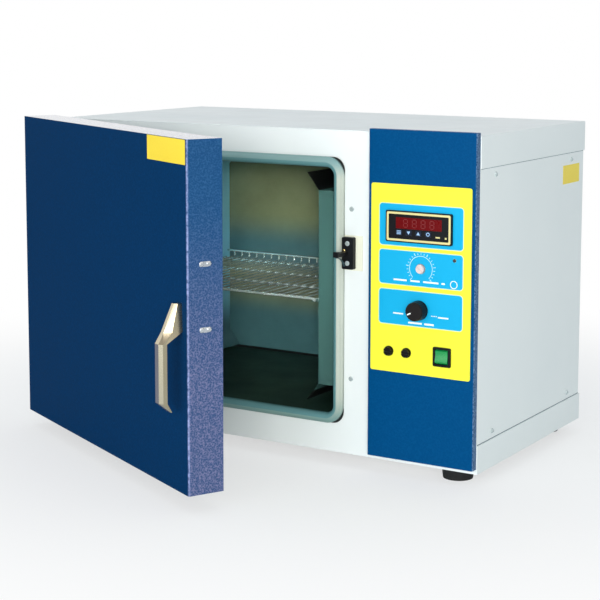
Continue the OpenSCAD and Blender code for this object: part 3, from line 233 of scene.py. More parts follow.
def grain_group():
    tree, ins, outs = group(
        "fine_grain",
        [("Scale", "Float", 900.0), ("Colour", "Color", (1, 1, 1, 1)), ("Shade", "Color", (0.5, 0.5, 0.5, 1)),
         ("Cloud", "Float", 0.3)],
        [("Colour", "Color"), ("Height", "Float"), ("Mask", "Float")])
    where = tree.nodes.new("ShaderNodeTexCoord").outputs["Object"]
    fine = noise(tree, where, ins.outputs["Scale"], 2.0)
    wide = noise(tree, where, 7.0, 3.0)
    cloud = math_node(tree, "MULTIPLY", steps(tree, wide, 0.35, 0.75), ins.outputs["Cloud"])
    speck = math_node(tree, "MULTIPLY", steps(tree, fine, 0.3, 0.8), 0.25)
    mask = math_node(tree, "ADD", cloud, math_node(tree, "MULTIPLY", speck, ins.outputs["Cloud"]), True)
    tree.links.new(mix_colour(tree, mask, ins.outputs["Colour"], ins.outputs["Shade"]), outs.inputs["Colour"])
    tree.links.new(fine, outs.inputs["Height"])
    tree.links.new(mask, outs.inputs["Mask"])
    return tree


def dust_group():
    tree, ins, outs = group(
        "settled_dust",
        [("Amount", "Float", 0.3), ("Colour", "Color", (1, 1, 1, 1)),
         ("Dust", "Color", linear(176, 174, 168))],
        [("Colour", "Color"), ("Mask", "Float")])
    facing = tree.nodes.new("ShaderNodeSeparateXYZ")
    tree.links.new(tree.nodes.new("ShaderNodeNewGeometry").outputs["Normal"], facing.inputs[0])
    where = tree.nodes.new("ShaderNodeTexCoord").outputs["Object"]
    patch = steps(tree, noise(tree, where, 24.0, 6.0, 0.65), 0.4, 0.75)
    level = steps(tree, facing.outputs["Z"], 0.5, 1.0)
    mask = math_node(tree, "MULTIPLY", math_node(tree, "MULTIPLY", level, patch), ins.outputs["Amount"], True)
    tree.links.new(mix_colour(tree, mask, ins.outputs["Colour"], ins.outputs["Dust"]), outs.inputs["Colour"])
    tree.links.new(mask, outs.inputs["Mask"])
    return tree


fine_grain = grain_group()
settled_dust = dust_group()


def material(name, colour, roughness, metallic=0.0, **sockets):
    made = bpy.data.materials.new(name)
    made.use_nodes = True
    made.diffuse_color = colour
    shader = made.node_tree.nodes["Principled BSDF"]
    shader.inputs["Base Color"].default_value = colour
    shader.inputs["Roughness"].default_value = roughness
    shader.inputs["Metallic"].default_value = metallic
    for socket, value in sockets.items():
        shader.inputs[socket.replace("_", " ")].default_value = value
    return made, made.node_tree, shader


def use(tree, made_group, **values):
    node = tree.nodes.new("ShaderNodeGroup")
    node.node_tree = made_group
    for socket, value in values.items():
        socket = node.inputs[socket.replace("_", " ")]
        if hasattr(value, "is_linked"):
            tree.links.new(value, socket)
        else:
            socket.default_value = value
    return node


def bump(tree, shader, height, distance, strength=1.0):
    node = tree.nodes.new("ShaderNodeBump")
    node.inputs["Distance"].default_value = distance
    node.inputs["Strength"].default_value = strength
    tree.links.new(height, node.inputs["Height"])
    tree.links.new(node.outputs["Normal"], shader.inputs["Normal"])


def grained(name, colour, shade, roughness, metallic=0.0, scale=900.0, cloud=0.3, depth=0.00002, dust=0.0,
            **sockets):
    colour, shade = linear(*colour), linear(*shade)
    made, tree, shader = material(name, colour, roughness, metallic, **sockets)
    grain = use(tree, fine_grain, Scale=scale, Colour=colour, Shade=shade, Cloud=cloud)
    found = grain.outputs["Colour"]
    if dust:
        layer = use(tree, settled_dust, Amount=dust, Colour=found)
        found = layer.outputs["Colour"]
    tree.links.new(found, shader.inputs["Base Color"])
    varied = math_node(tree, "MULTIPLY", grain.outputs["Mask"], 0.25)
    tree.links.new(math_node(tree, "ADD", varied, roughness - 0.05), shader.inputs["Roughness"])
    bump(tree, shader, grain.outputs["Height"], depth)
    return made


def dress(made, *names):
    for name in names:
        mesh = nodes[name].data
        mesh.materials.clear()
        mesh.materials.append(made)


def soften(width, *names, segments=2, angle=40):
    for name in names:
        weld = nodes[name].modifiers.new("weld", "WELD")
        weld.merge_threshold = 0.000002
        round_off = nodes[name].modifiers.new("rounded_edges", "BEVEL")
        round_off.width = width
        round_off.segments = segments
        round_off.limit_method = "ANGLE"
        round_off.angle_limit = math.radians(angle)
        level = nodes[name].modifiers.new("level_normals", "WEIGHTED_NORMAL")
        level.keep_sharp = True
        level.weight = 100
        for face in nodes[name].data.polygons:
            face.use_smooth = True


white_coat = grained("white_powder_coat", (240, 245, 244), (226, 234, 235), 0.42, scale=1400.0,
                     depth=0.000012, dust=0.12, Coat_Weight=0.15, Coat_Roughness=0.3)
casing = ("top_cover", "base_tray", "left_side_panel", "right_side_panel", "rear_panel", "front_frame")
dress(white_coat, *casing)
soften(0.0006, "top_cover", "base_tray", "left_side_panel", "right_side_panel")
soften(0.0004, "latch_packer")


# Chamber: liner, duct covers, shelf runners and the pipes that pass its right wall.
# Rolled stainless sheet with a matt grain; its walls are banded teal and olive-brown by height as painted
# reflection, and its floor is painted dark green shade.
# The wall behind the right duct and the flaps at the duct cover's ends are painted black as shade.
def brushed_group():
    tree, ins, outs = group(
        "brushed_lines",
        [("Stretch", "Vector", (300.0, 8.0, 300.0)), ("Colour", "Color", (1, 1, 1, 1)),
         ("Tint", "Color", (0.4, 0.35, 0.25, 1)), ("Cloud", "Float", 0.5)],
        [("Colour", "Color"), ("Height", "Float"), ("Mask", "Float")])
    where = tree.nodes.new("ShaderNodeTexCoord").outputs["Object"]
    drawn = tree.nodes.new("ShaderNodeVectorMath")
    drawn.operation = "MULTIPLY"
    tree.links.new(where, drawn.inputs[0])
    tree.links.new(ins.outputs["Stretch"], drawn.inputs[1])
    lines = noise(tree, drawn.outputs[0], 1.0, 4.0, 0.6)
    patch = math_node(tree, "MULTIPLY", steps(tree, noise(tree, where, 9.0, 5.0, 0.6), 0.3, 0.75),
                      ins.outputs["Cloud"])
    mask = math_node(tree, "ADD", patch, math_node(tree, "MULTIPLY", lines, 0.22), True)
    tree.links.new(mix_colour(tree, mask, ins.outputs["Colour"], ins.outputs["Tint"]), outs.inputs["Colour"])
    tree.links.new(lines, outs.inputs["Height"])
    tree.links.new(mask, outs.inputs["Mask"])
    return tree


brushed_lines = brushed_group()


def steel(name, colour, tint, roughness, stretch=(900.0, 900.0, 25.0), cloud=0.5, depth=0.00002,
          metallic=1.0):
    colour, tint = linear(*colour), linear(*tint)
    made, tree, shader = material(name, colour, roughness, metallic)
    lines = use(tree, brushed_lines, Stretch=stretch, Colour=colour, Tint=tint, Cloud=cloud)
    tree.links.new(lines.outputs["Colour"], shader.inputs["Base Color"])
    varied = math_node(tree, "MULTIPLY", lines.outputs["Mask"], 0.25)
    tree.links.new(math_node(tree, "ADD", varied, roughness - 0.1), shader.inputs["Roughness"])
    bump(tree, shader, lines.outputs["Height"], depth)
    return made


def height_group():
    tree, ins, outs = group(
        "blend_by_height",
        [("Bottom", "Float", 0.0), ("Top", "Float", 0.4), ("Below", "Color", (0.1, 0.2, 0.2, 1)),
         ("Above", "Color", (0.3, 0.3, 0.2, 1))],
        [("Colour", "Color")])
    where = tree.nodes.new("ShaderNodeSeparateXYZ")
    tree.links.new(tree.nodes.new("ShaderNodeTexCoord").outputs["Object"], where.inputs[0])
    rise = tree.nodes.new("ShaderNodeMapRange")
    rise.interpolation_type = "SMOOTHSTEP"
    tree.links.new(where.outputs["Z"], rise.inputs["Value"])
    tree.links.new(ins.outputs["Bottom"], rise.inputs["From Min"])
    tree.links.new(ins.outputs["Top"], rise.inputs["From Max"])
    tree.links.new(mix_colour(tree, rise.outputs["Result"], ins.outputs["Below"], ins.outputs["Above"]),
                   outs.inputs["Colour"])
    return tree


blend_by_height = height_group()


def banded_by_height(made, lowest, *bands):
    tree = made.node_tree
    lines = next(n for n in tree.nodes if n.type == "GROUP" and n.node_tree == brushed_lines)
    for index, socket in enumerate(("Colour", "Tint")):
        below = lowest[index]
        for bottom, top, *above in bands:
            blend = use(tree, blend_by_height, Bottom=bottom, Top=top, Below=below, Above=above[index])
            below = blend.outputs["Colour"]
        tree.links.new(below, lines.inputs[socket])


liner_steel = steel("liner_stainless", (120, 130, 110), (80, 100, 90), 0.42, (60.0, 900.0, 900.0), 0.8,
                    metallic=0.25)
# Painted reflection: teal and olive-brown bands by height on the liner walls.
cool, warm = (linear(60, 98, 104), linear(42, 76, 82)), (linear(112, 122, 90), linear(84, 94, 64))
banded_by_height(liner_steel, cool, (0.124, 0.172, *warm), (0.19, 0.21, *cool), (0.236, 0.29, *warm))
# Painted shade: the chamber floor is coloured dark green.
liner_floor = steel("liner_floor", (17, 44, 34), (10, 30, 24), 0.5, (900.0, 30.0, 900.0), 0.7, metallic=0.0)
liner_floor.node_tree.nodes["Principled BSDF"].inputs["Specular IOR Level"].default_value = 0.25
duct_steel = steel("duct_stainless", (62, 101, 98), (48, 83, 81), 0.42, (900.0, 900.0, 30.0), 0.5,
                   metallic=0.3)
# Painted shade: black for the liner wall behind the right duct and for the duct cover's flaps.
duct_painted_shade = grained("duct_painted_shade", (8, 14, 13), (18, 26, 24), 0.6, cloud=0.5, depth=0.00001,
                     Specular_IOR_Level=0.1)
# Painted light: the left cover's bright cyan colour on the steel.
left_steel = steel("left_cover_stainless", (132, 208, 236), (110, 180, 206), 0.4, (900.0, 900.0, 30.0), 0.5,
                   metallic=0.3)
zinc = steel("zinc_plate", (188, 190, 188), (140, 138, 130), 0.34, (400.0, 400.0, 400.0))
dress(liner_steel, "chamber_liner")
liner = nodes["chamber_liner"].data
liner.materials.append(liner_floor)
liner.materials.append(duct_painted_shade)
liner_low, liner_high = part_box("chamber_liner")
chamber_mid = (liner_low + liner_high) / 2


def inner_wall(axis, sign):
    inward = [f for f in liner.polygons
              if sign * f.normal[axis] > 0.9 and sign * (chamber_mid - f.center)[axis] > 0]
    return max(inward, key=lambda f: f.area).center[axis]


left_wall, right_wall = inner_wall(0, 1), inner_wall(0, -1)
back_wall, floor_level = inner_wall(1, -1), inner_wall(2, 1)
for face in liner.polygons:
    if face.normal.z > 0.7 and abs(face.center.z - floor_level) < 0.001:
        face.material_index = 1
    if face.normal.x < -0.7 and abs(face.center.x - right_wall) < 0.001:
        face.material_index = 2
dress(duct_steel, "right_duct_cover", "shelf_runners")
dress(left_steel, "left_duct_cover")
# It turns darker towards the bottom.
banded_by_height(left_steel, (linear(54, 90, 96), linear(44, 76, 82)),
                 (0.1, 0.17, linear(132, 208, 236), linear(110, 180, 206)))
# The duct cover is black below its lower flap fold and above its upper one: painted shade.
flap_foot, flap_head, blur = 0.0292, 0.0463, 0.0003
flaps_below, flaps_above = liner_low.z + flap_foot, liner_high.z - flap_head
plain, black = (linear(62, 101, 98), linear(48, 83, 81)), (linear(6, 9, 9), linear(6, 9, 9))
banded_by_height(duct_steel, black, (flaps_below - blur, flaps_below + blur, *plain),
                 (flaps_above - blur, flaps_above + blur, *black))
dress(zinc, "partition_wall", "fresh_air_pipe", "shaft_sleeve", "temperature_probe", "exhaust_port",
      "fan_motor_posts", "air_rod", "air_damper")
soften(0.0005, "left_duct_cover", "right_duct_cover", "shelf_runners")
soften(0.0003, "fresh_air_pipe", "exhaust_port", "shaft_sleeve", "air_rod", "air_damper")

# Corner where the chamber's floor meets its back.
# A dark wedge along it is painted shadow of the gap there.
def mesh_piece(name, points, faces, made, body, slot_name, smooth=True):
    mesh = bpy.data.meshes.new(name)
    mesh.from_pydata([tuple(p) for p in points], [], faces)
    mesh.validate()
    if smooth:
        for face in mesh.polygons:
            face.use_smooth = True
    mesh.materials.append(made)
    obj = bpy.data.objects.new(name, mesh)
    scene.collection.objects.link(obj)
    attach(obj, body)
    return obj


def seam_strip():
    rise = 0.003
    points = []
    for x in (left_wall, right_wall):
        points += [(x, back_wall, floor_level), (x, back_wall - rise, floor_level),
                   (x, back_wall, floor_level + rise)]
    return points, [(0, 1, 2), (5, 4, 3), (0, 3, 4, 1), (1, 4, 5, 2), (2, 5, 3, 0)]


# Painted shadow along the back corner of the chamber floor.
seam_painted_shadow = grained("seam_painted_shadow", (10, 16, 15), (24, 32, 30), 0.7, cloud=0.5)
mesh_piece("chamber_back_painted_shadow", *seam_strip(), seam_painted_shadow, "cabinet", "liner_steel", smooth=False)

# Lap joints of the casing, where the cover's skirt and the tray's rim go over the side panels.
# A thin grey strip along each lap is painted shadow of the narrow gap there.
skirt_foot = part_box("top_cover")[0].z
tray_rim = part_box("base_tray")[1].z
lap_painted_shadow = grained("lap_shadow", (118, 140, 148), (84, 104, 112), 0.8, scale=500.0, cloud=0.6, depth=0.00001)
lap_gap, lift, inset = 0.0009, 0.00008, 0.001
for side, panel in (("right", "right_side_panel"), ("left", "left_side_panel")):
    panel_low, panel_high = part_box(panel)
    x = panel_high.x + lift if side == "right" else panel_low.x - lift
    y1, y2 = panel_low.y + inset, panel_high.y - inset
    corners = [(y1, 0), (y2, 0), (y2, 1), (y1, 1)]
    turn = (0, 1, 2, 3) if side == "right" else (3, 2, 1, 0)
    for place, z in (("skirt", skirt_foot - lap_gap), ("tray", tray_rim)):
        mesh_piece(side + "_" + place + "_lap", [(x, y, z + up * lap_gap) for y, up in corners], [turn],
                   lap_painted_shadow, "cabinet", "white_paint", smooth=False)

# Mineral wool behind the liner and in the door.
# Loose pressed fibre, hidden by the sheets and seen only through gaps.
wool = grained("mineral_wool", (196, 180, 132), (150, 132, 88), 0.95, scale=300.0, cloud=0.7, depth=0.0006)
dress(wool, "chamber_insulation", "door_insulation")

# Door gasket.
# A pale grey silicone profile with a rounded crown and a small step, laid round the chamber mouth.
# Its inner flank and its bottom and top runs are painted teal shade, and it is glued on a thin black backing
# whose tighter corners show.
low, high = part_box("door_gasket")
gasket_width = 0.0135
gasket_radius = 0.025
crown = [(0.0, 0.0), (0.0, 0.36), (0.03, 0.56), (0.09, 0.74), (0.19, 0.89), (0.33, 0.98), (0.48, 1.0),
         (0.62, 0.97), (0.74, 0.88),
         (0.82, 0.75), (0.86, 0.62), (0.89, 0.54), (0.95, 0.5), (1.0, 0.42), (1.0, 0.0)]


def rounded_path(x1, z1, x2, z2, radius, count=12):
    points = []
    for cx, cz, start in ((x2 - radius, z2 - radius, 0), (x1 + radius, z2 - radius, 90),
                          (x1 + radius, z1 + radius, 180), (x2 - radius, z1 + radius, 270)):
        for i in range(count + 1):
            a = math.radians(start + 90 * i / count)
            points.append((cx + radius * math.cos(a), cz + radius * math.sin(a), math.cos(a), math.sin(a)))
    return points


def printed(name, loops, made, thickness, place, body="cabinet", rim=0.0):
    curve = bpy.data.curves.new(name, "CURVE")
    curve.dimensions = "2D"
    curve.fill_mode = "BOTH"
    curve.extrude = thickness / 2 - rim
    curve.bevel_depth = rim
    curve.offset = -rim
    curve.bevel_resolution = 2
    for loop in loops:
        spline = curve.splines.new("POLY")
        spline.points.add(len(loop) - 1)
        for point, (x, y) in zip(spline.points, loop):
            point.co = (x, y, 0, 1)
        spline.use_cyclic_u = True
    source = bpy.data.objects.new(name + "_curve", curve)
    scene.collection.objects.link(source)
    bpy.context.view_layer.update()
    mesh = bpy.data.meshes.new_from_object(source.evaluated_get(bpy.context.evaluated_depsgraph_get()))
    bpy.data.objects.remove(source)
    mesh.name = name
    mesh.materials.clear()
    mesh.materials.append(made)
    obj = bpy.data.objects.new(name, mesh)
    scene.collection.objects.link(obj)
    obj.matrix_world = place
    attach(obj, body)
    return obj


def facing_front(x, y, z):
    return Matrix.Translation((x, y, z)) @ Matrix(((1, 0, 0, 0), (0, 0, -1, 0), (0, 1, 0, 0), (0, 0, 0, 1)))


def rounded_loop(width, height, radius, count=8, x=0.0, y=0.0):
    path = rounded_path(-width / 2, -height / 2, width / 2, height / 2, radius, count)
    return [(px + x, py + y) for px, py, _, _ in path]


gasket_height = high.y - low.y
points, faces = [], []
path_points = rounded_path(low.x, low.z, high.x, high.z, gasket_radius, 14)
for x, z, nx, nz in path_points:
    for across, rise in crown:
        inset = (1 - across) * gasket_width
        points.append((x - nx * inset, high.y - rise * gasket_height, z - nz * inset))
ring = len(crown)
count = len(path_points)
for i in range(count):
    j = (i + 1) % count
    for k in range(ring):
        m = (k + 1) % ring
        faces.append((i * ring + k, i * ring + m, j * ring + m, j * ring + k))
silicone = grained("silicone_gasket", (168, 175, 150), (132, 152, 138), 0.6, scale=700.0, cloud=0.4,
                   depth=0.00003, dust=0.2)
# Painted shade: the bottom and top runs turn teal, the side runs stay pale cream.
shade_from, shade_to, top_shade_from, top_shade_to = 0.003, 0.04, 0.03, 0.004
shade_of_gasket = use(silicone.node_tree, blend_by_height, Bottom=low.z + shade_from, Top=low.z + shade_to,
                      Below=linear(120, 160, 158), Above=linear(206, 212, 200))
top_run_painted_shade = use(silicone.node_tree, blend_by_height, Bottom=high.z - top_shade_from, Top=high.z - top_shade_to,
                      Below=shade_of_gasket.outputs["Colour"], Above=linear(132, 172, 174))
grain_of_gasket = next(n for n in silicone.node_tree.nodes if n.type == "GROUP" and n.node_tree == fine_grain)
silicone.node_tree.links.new(top_run_painted_shade.outputs["Colour"], grain_of_gasket.inputs["Colour"])
gasket = mesh_piece("gasket_profile", points, faces, silicone, "cabinet", "gasket_rubber")
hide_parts("door_gasket")
# Painted shade: the inner flank faces take a darker teal copy of the silicone.
inner_shade = grained("silicone_inner_flank", (101, 151, 154), (78, 126, 130), 0.6, scale=700.0, cloud=0.4,
                      depth=0.00003)
gasket.data.materials.append(inner_shade)
inner_faces = 6
for i, face in enumerate(gasket.data.polygons):
    if i % ring < inner_faces:
        face.material_index = 1
backing_black = grained("backing_black", (10, 14, 16), (24, 30, 32), 0.6, cloud=0.4, depth=0.00001)
backing_width, backing_height = high.x - low.x, high.z - low.z
backing_radius, backing_rim, backing_film, backing_sunk = 0.017, 0.01, 0.0003, 0.00025
outer_loop = rounded_loop(backing_width, backing_height, backing_radius)
inner_loop = rounded_loop(backing_width - 2 * backing_rim, backing_height - 2 * backing_rim, backing_rim)
place = facing_front((low.x + high.x) / 2, high.y - backing_sunk, (low.z + high.z) / 2)
printed("gasket_backing", [outer_loop, inner_loop], backing_black, backing_film, place)

# Wire shelf.
# Electro-polished steel wires welded across five-millimetre rods, their back ends bent up to a cross wire.
wire_steel = steel("polished_wire", (222, 238, 236), (172, 190, 186), 0.2, (500.0, 500.0, 500.0), 0.4,
                   0.00001, metallic=0.8)
dress(wire_steel, "wire_shelf")

# Heater and fan.
# Two heat-darkened tube hairpins beside an aluminium blower wheel.
# A cooling disc and a black motor on four posts are behind them.
heated = steel("heater_tube", (92, 84, 78), (58, 48, 42), 0.45, (600.0, 40.0, 600.0), 0.8)
mill = steel("mill_aluminium", (196, 198, 200), (160, 162, 164), 0.35, (300.0, 300.0, 300.0), 0.4)
motor_coat = grained("motor_black", (34, 34, 36), (54, 54, 58), 0.5, cloud=0.4, depth=0.00003)
dress(heated, "heater_hairpins")
dress(mill, "fan_wheel", "cooling_disc")
dress(zinc, "fan_shaft")
dress(motor_coat, "fan_motor")
soften(0.0008, "fan_motor")


# Control column.
# A folded steel front, sprayed in blue hammertone paint whose flakes and dimples speckle the light.
def hammer_group():
    tree, ins, outs = group(
        "hammertone",
        [("Scale", "Float", 420.0), ("Colour", "Color", (1, 1, 1, 1)), ("Flake", "Color", (0.6, 0.6, 0.8, 1)),
         ("Amount", "Float", 0.3)],
        [("Colour", "Color"), ("Height", "Float"), ("Mask", "Float")])
    where = tree.nodes.new("ShaderNodeTexCoord").outputs["Object"]
    cells = tree.nodes.new("ShaderNodeTexVoronoi")
    cells.feature = "SMOOTH_F1"
    cells.inputs["Smoothness"].default_value = 0.6
    tree.links.new(where, cells.inputs["Vector"])
    tree.links.new(ins.outputs["Scale"], cells.inputs["Scale"])
    blur = noise(tree, where, ins.outputs["Scale"], 3.0, 0.6)
    height = math_node(tree, "ADD", math_node(tree, "MULTIPLY", cells.outputs["Distance"], 0.7),
                       math_node(tree, "MULTIPLY", blur, 0.5))
    flake = math_node(tree, "MULTIPLY", steps(tree, height, 0.45, 0.8), ins.outputs["Amount"], True)
    tree.links.new(mix_colour(tree, flake, ins.outputs["Colour"], ins.outputs["Flake"]),
                   outs.inputs["Colour"])
    tree.links.new(height, outs.inputs["Height"])
    tree.links.new(flake, outs.inputs["Mask"])
    return tree


hammertone = hammer_group()


def hammered(name, colour, flake, amount, roughness, depth=0.00012, scale=420.0, shine=0.06, coat=0.0):
    colour, flake = linear(*colour), linear(*flake)
    made, tree, shader = material(name, colour, roughness, 0.0, Specular_IOR_Level=shine, Coat_Weight=coat,
            Coat_Roughness=0.06)
    paint = use(tree, hammertone, Scale=scale, Colour=colour, Flake=flake, Amount=amount)
    tree.links.new(paint.outputs["Colour"], shader.inputs["Base Color"])
    varied = math_node(tree, "MULTIPLY", paint.outputs["Mask"], 0.2)
    tree.links.new(math_node(tree, "ADD", varied, roughness - 0.05), shader.inputs["Roughness"])
    bump(tree, shader, paint.outputs["Height"], depth)
    return made


column_blue = hammered("column_hammertone", (0, 70, 122), (8, 88, 140), 0.3, 0.42, shine=0.03)
# Painted light: the right side faces take a copy of the paint with bright flakes.
column_side = hammered("column_side_hammertone", (22, 70, 112), (118, 148, 184), 0.9, 0.4, 0.0002, 560.0,
        0.15)
dress(column_blue, "control_column")
column = nodes["control_column"].data
column.materials.append(column_side)
for face in column.polygons:
    if face.normal.x > 0.7:
        face.material_index = 1
soften(0.0006, "control_column")


# Front plate: a thin yellow plate with three blue printed boxes, each with a pale line round it.
# The prints are ink films on the plate; scale marks are white ink, and the plate carries no words.
def ring_loop(radius, count=40, x=0.0, y=0.0):
    return [(x + radius * math.cos(2 * math.pi * i / count), y + radius * math.sin(2 * math.pi * i / count))
            for i in range(count)]


def bar_loop(length, width, angle, radius=0.0, x=0.0, y=0.0):
    c, s = math.cos(angle), math.sin(angle)
    corners = ((radius, -width / 2), (radius + length, -width / 2), (radius + length, width / 2),
               (radius, width / 2))
    return [(x + a * c - b * s, y + a * s + b * c) for a, b in corners]


plate_yellow = grained("plate_yellow", (248, 246, 66), (244, 240, 58), 0.45, scale=500.0, depth=0.000004,
        Specular_IOR_Level=0.15)
box_blue = grained("printed_blue", (20, 174, 224), (16, 164, 216), 0.45, scale=500.0, depth=0.000004,
                   Specular_IOR_Level=0.12)
pale_line = grained("printed_pale_line", (214, 236, 190), (200, 226, 180), 0.4, scale=500.0, cloud=0.2,
                    depth=0.000002)
white_ink = grained("printed_white", (240, 246, 246), (225, 235, 240), 0.45, scale=500.0, cloud=0.2,
                    depth=0.000002)
dress(plate_yellow, "front_plate")
soften(0.0002, "front_plate")
plate_low, plate_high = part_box("front_plate")
knob_low, knob_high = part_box("air_knob")
trim_low, trim_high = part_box("alarm_trimmer")
lamp_low, lamp_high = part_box("alarm_lamp")
knob_mid = (knob_low + knob_high) / 2
trim_mid = (trim_low + trim_high) / 2
lamp_mid = (lamp_low + lamp_high) / 2
film = 0.00012
box_x, box_width, box_corner = plate_low.x + 0.0717, 0.1193, 0.0045
line_out, line_in = 0.0006, 0.0004
seat, dial_hole, lamp_hole, knob_hole = 0.006, 0.0058, 0.0024, 0.0062
bezel_low, bezel_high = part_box("controller_bezel")
for tag, z1, z2 in (("controller", 0.1645, 0.2185), ("dial", 0.1145, 0.159), ("air", 0.0625, 0.108)):
    middle = plate_low.z + (z1 + z2) / 2
    cuts = []
    if tag == "controller":
        seat_x, seat_z = (bezel_low.x + bezel_high.x) / 2 - box_x, (bezel_low.z + bezel_high.z) / 2 - middle
        seat_width, seat_height = bezel_high.x - bezel_low.x - seat, bezel_high.z - bezel_low.z - seat
        cuts = [rounded_loop(seat_width, seat_height, 0.002, 4, seat_x, seat_z)]
    if tag == "dial":
        cuts = [ring_loop(dial_hole, 32, trim_mid.x - box_x, trim_mid.z - middle),
                ring_loop(lamp_hole, 24, lamp_mid.x - box_x, lamp_mid.z - middle)]
    if tag == "air":
        cuts = [ring_loop(knob_hole, 32, knob_mid.x - box_x, knob_mid.z - middle)]
    place = facing_front(box_x, plate_low.y - film / 2, middle)
    printed("printed_box_" + tag, [rounded_loop(box_width, z2 - z1, box_corner)] + cuts, box_blue, film,
            place)
    outline = rounded_loop(box_width + 2 * line_out, z2 - z1 + 2 * line_out, box_corner + line_out)
    inline = rounded_loop(box_width - 2 * line_in, z2 - z1 - 2 * line_in, box_corner - line_in)
    printed("printed_line_" + tag, [outline, inline], pale_line, film,
            facing_front(box_x, plate_low.y - film, middle))

# Alarm dial: a nickel bush with a small slotted trimmer for a screwdriver, and a small red lamp.
# Pale scale marks run three quarters of the way round it, over plain white dashes and a ring.
nickel = steel("nickel_plate", (190, 190, 188), (150, 146, 140), 0.28, (900.0, 900.0, 900.0), 0.3)
trimmer_plastic = grained("trimmer_plastic", (226, 208, 204), (206, 186, 180), 0.4, scale=1200.0,
        depth=0.00001)
lamp_red, tree, shader = material("lamp_lens", linear(44, 30, 46), 0.15, 0.0, Coat_Weight=0.3,
        Coat_Roughness=0.08)
lens = use(tree, fine_grain, Scale=600.0, Colour=linear(44, 30, 46), Shade=linear(26, 16, 28), Cloud=0.5)
tree.links.new(lens.outputs["Colour"], shader.inputs["Base Color"])
dress(nickel, "alarm_dial_body")
dress(trimmer_plastic, "alarm_trimmer")
dress(lamp_red, "alarm_lamp")
soften(0.0003, "alarm_dial_body", "alarm_trimmer")
soften(0.0002, "alarm_lamp")
marks = []
arc_radius, arc_start, mark_step = 0.0178, 225, 13.5
for i in range(21):
    angle = math.radians(arc_start - i * mark_step)
    length, width = (0.0034, 0.0009) if i % 4 == 0 else (0.0022, 0.0007)
    marks.append(bar_loop(length, width, angle, arc_radius))
scale_ink = grained("printed_scale", (190, 236, 250), (170, 222, 240), 0.45, scale=500.0, cloud=0.2,
                    depth=0.000002)
place = facing_front(trim_mid.x, plate_low.y - film * 1.6, trim_mid.z)
printed("alarm_scale_marks", marks, scale_ink, film, place)
arc = []
for radius, angles in ((arc_radius - 0.0012, range(0, 271, 6)), (arc_radius - 0.0019, range(270, -1, -6))):
    for step in angles:
        angle = math.radians(arc_start - step)
        arc.append((radius * math.cos(angle), radius * math.sin(angle)))
printed("alarm_scale_arc", [arc], scale_ink, film, place)
dash_width, dash_y, ring_x = 0.0022, -0.0165, 0.0465
dashes = ((-0.039, 0.019), (-0.0145, 0.013), (0.0035, 0.0215), (0.0295, 0.0045))
loops = [bar_loop(length, dash_width, 0, 0, x, dash_y) for x, length in dashes]
loops += [ring_loop(radius, 32, ring_x, dash_y) for radius in (0.0052, 0.0042)]
printed("alarm_line", loops, white_ink, film, place)

# Fresh air knob: black moulded plastic, fluted, with a white pointer line, pressed on the damper's rod.
# White marks on the plate show its closed and open ends.
knob_radius = (knob_high.x - knob_low.x) / 2
knob_back, knob_front = knob_high.y, knob_low.y
knob_depth = knob_back - knob_front
flutes = 24
profile = [(1.0, 0.0), (1.0, 0.1), (0.99, 0.13), (0.975, 0.16), (0.97, 0.22), (0.955, 0.88), (0.93, 0.96),
           (0.87, 1.0), (0.0, 1.0)]
steps_round = flutes * 6
points, faces = [], []
for radius_share, depth_share in profile[:-1]:
    for i in range(steps_round):
        a = 2 * math.pi * i / steps_round
        r = knob_radius * radius_share
        if 0.3 < depth_share < 0.97:
            r *= 1 - 0.03 * (0.5 + 0.5 * math.cos(flutes * a)) ** 2
        points.append((knob_mid.x + r * math.cos(a), knob_back - depth_share * knob_depth,
                       knob_mid.z + r * math.sin(a)))
for k in range(len(profile) - 2):
    for i in range(steps_round):
        j = (i + 1) % steps_round
        here, there = k * steps_round, (k + 1) * steps_round
        faces.append((here + i, there + i, there + j, here + j))
faces.append(tuple((len(profile) - 2) * steps_round + i for i in reversed(range(steps_round))))
faces.append(tuple(range(steps_round)))
knob_black = grained("knob_black", (14, 11, 11), (28, 22, 22), 0.42, scale=1500.0, depth=0.00001,
                     Specular_IOR_Level=0.2)
knob = mesh_piece("air_knob_fluted", points, faces, knob_black, "air_valve", "knob_plastic")
knob.data.set_sharp_from_angle(angle=math.radians(35))
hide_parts("air_knob")
pointer_angle = math.radians(205)
printed("air_knob_pointer", [bar_loop(knob_radius * 0.42, 0.0016, pointer_angle, knob_radius * 0.36)],
        white_ink, film,
                  facing_front(knob_mid.x, knob_front + film * 0.4, knob_mid.z), "air_valve")
dashes = ((0.0145, 0.0018, -0.0375, -0.0068), (0.0145, 0.0018, 0.0268, -0.0068),
          (0.0195, 0.0024, -0.0155, -0.0172), (0.0135, 0.0024, 0.0075, -0.0172))
marks = [bar_loop(length, width, 0, 0, x, y) for length, width, x, y in dashes]
marks += [bar_loop(0.0016, 0.0012, 0, 0, x, -0.0058) for x in (0.0175, 0.0205, 0.0235)]
place = facing_front(knob_mid.x, plate_low.y - film * 1.6, knob_mid.z)
printed("air_scale_marks", marks, white_ink, film, place)

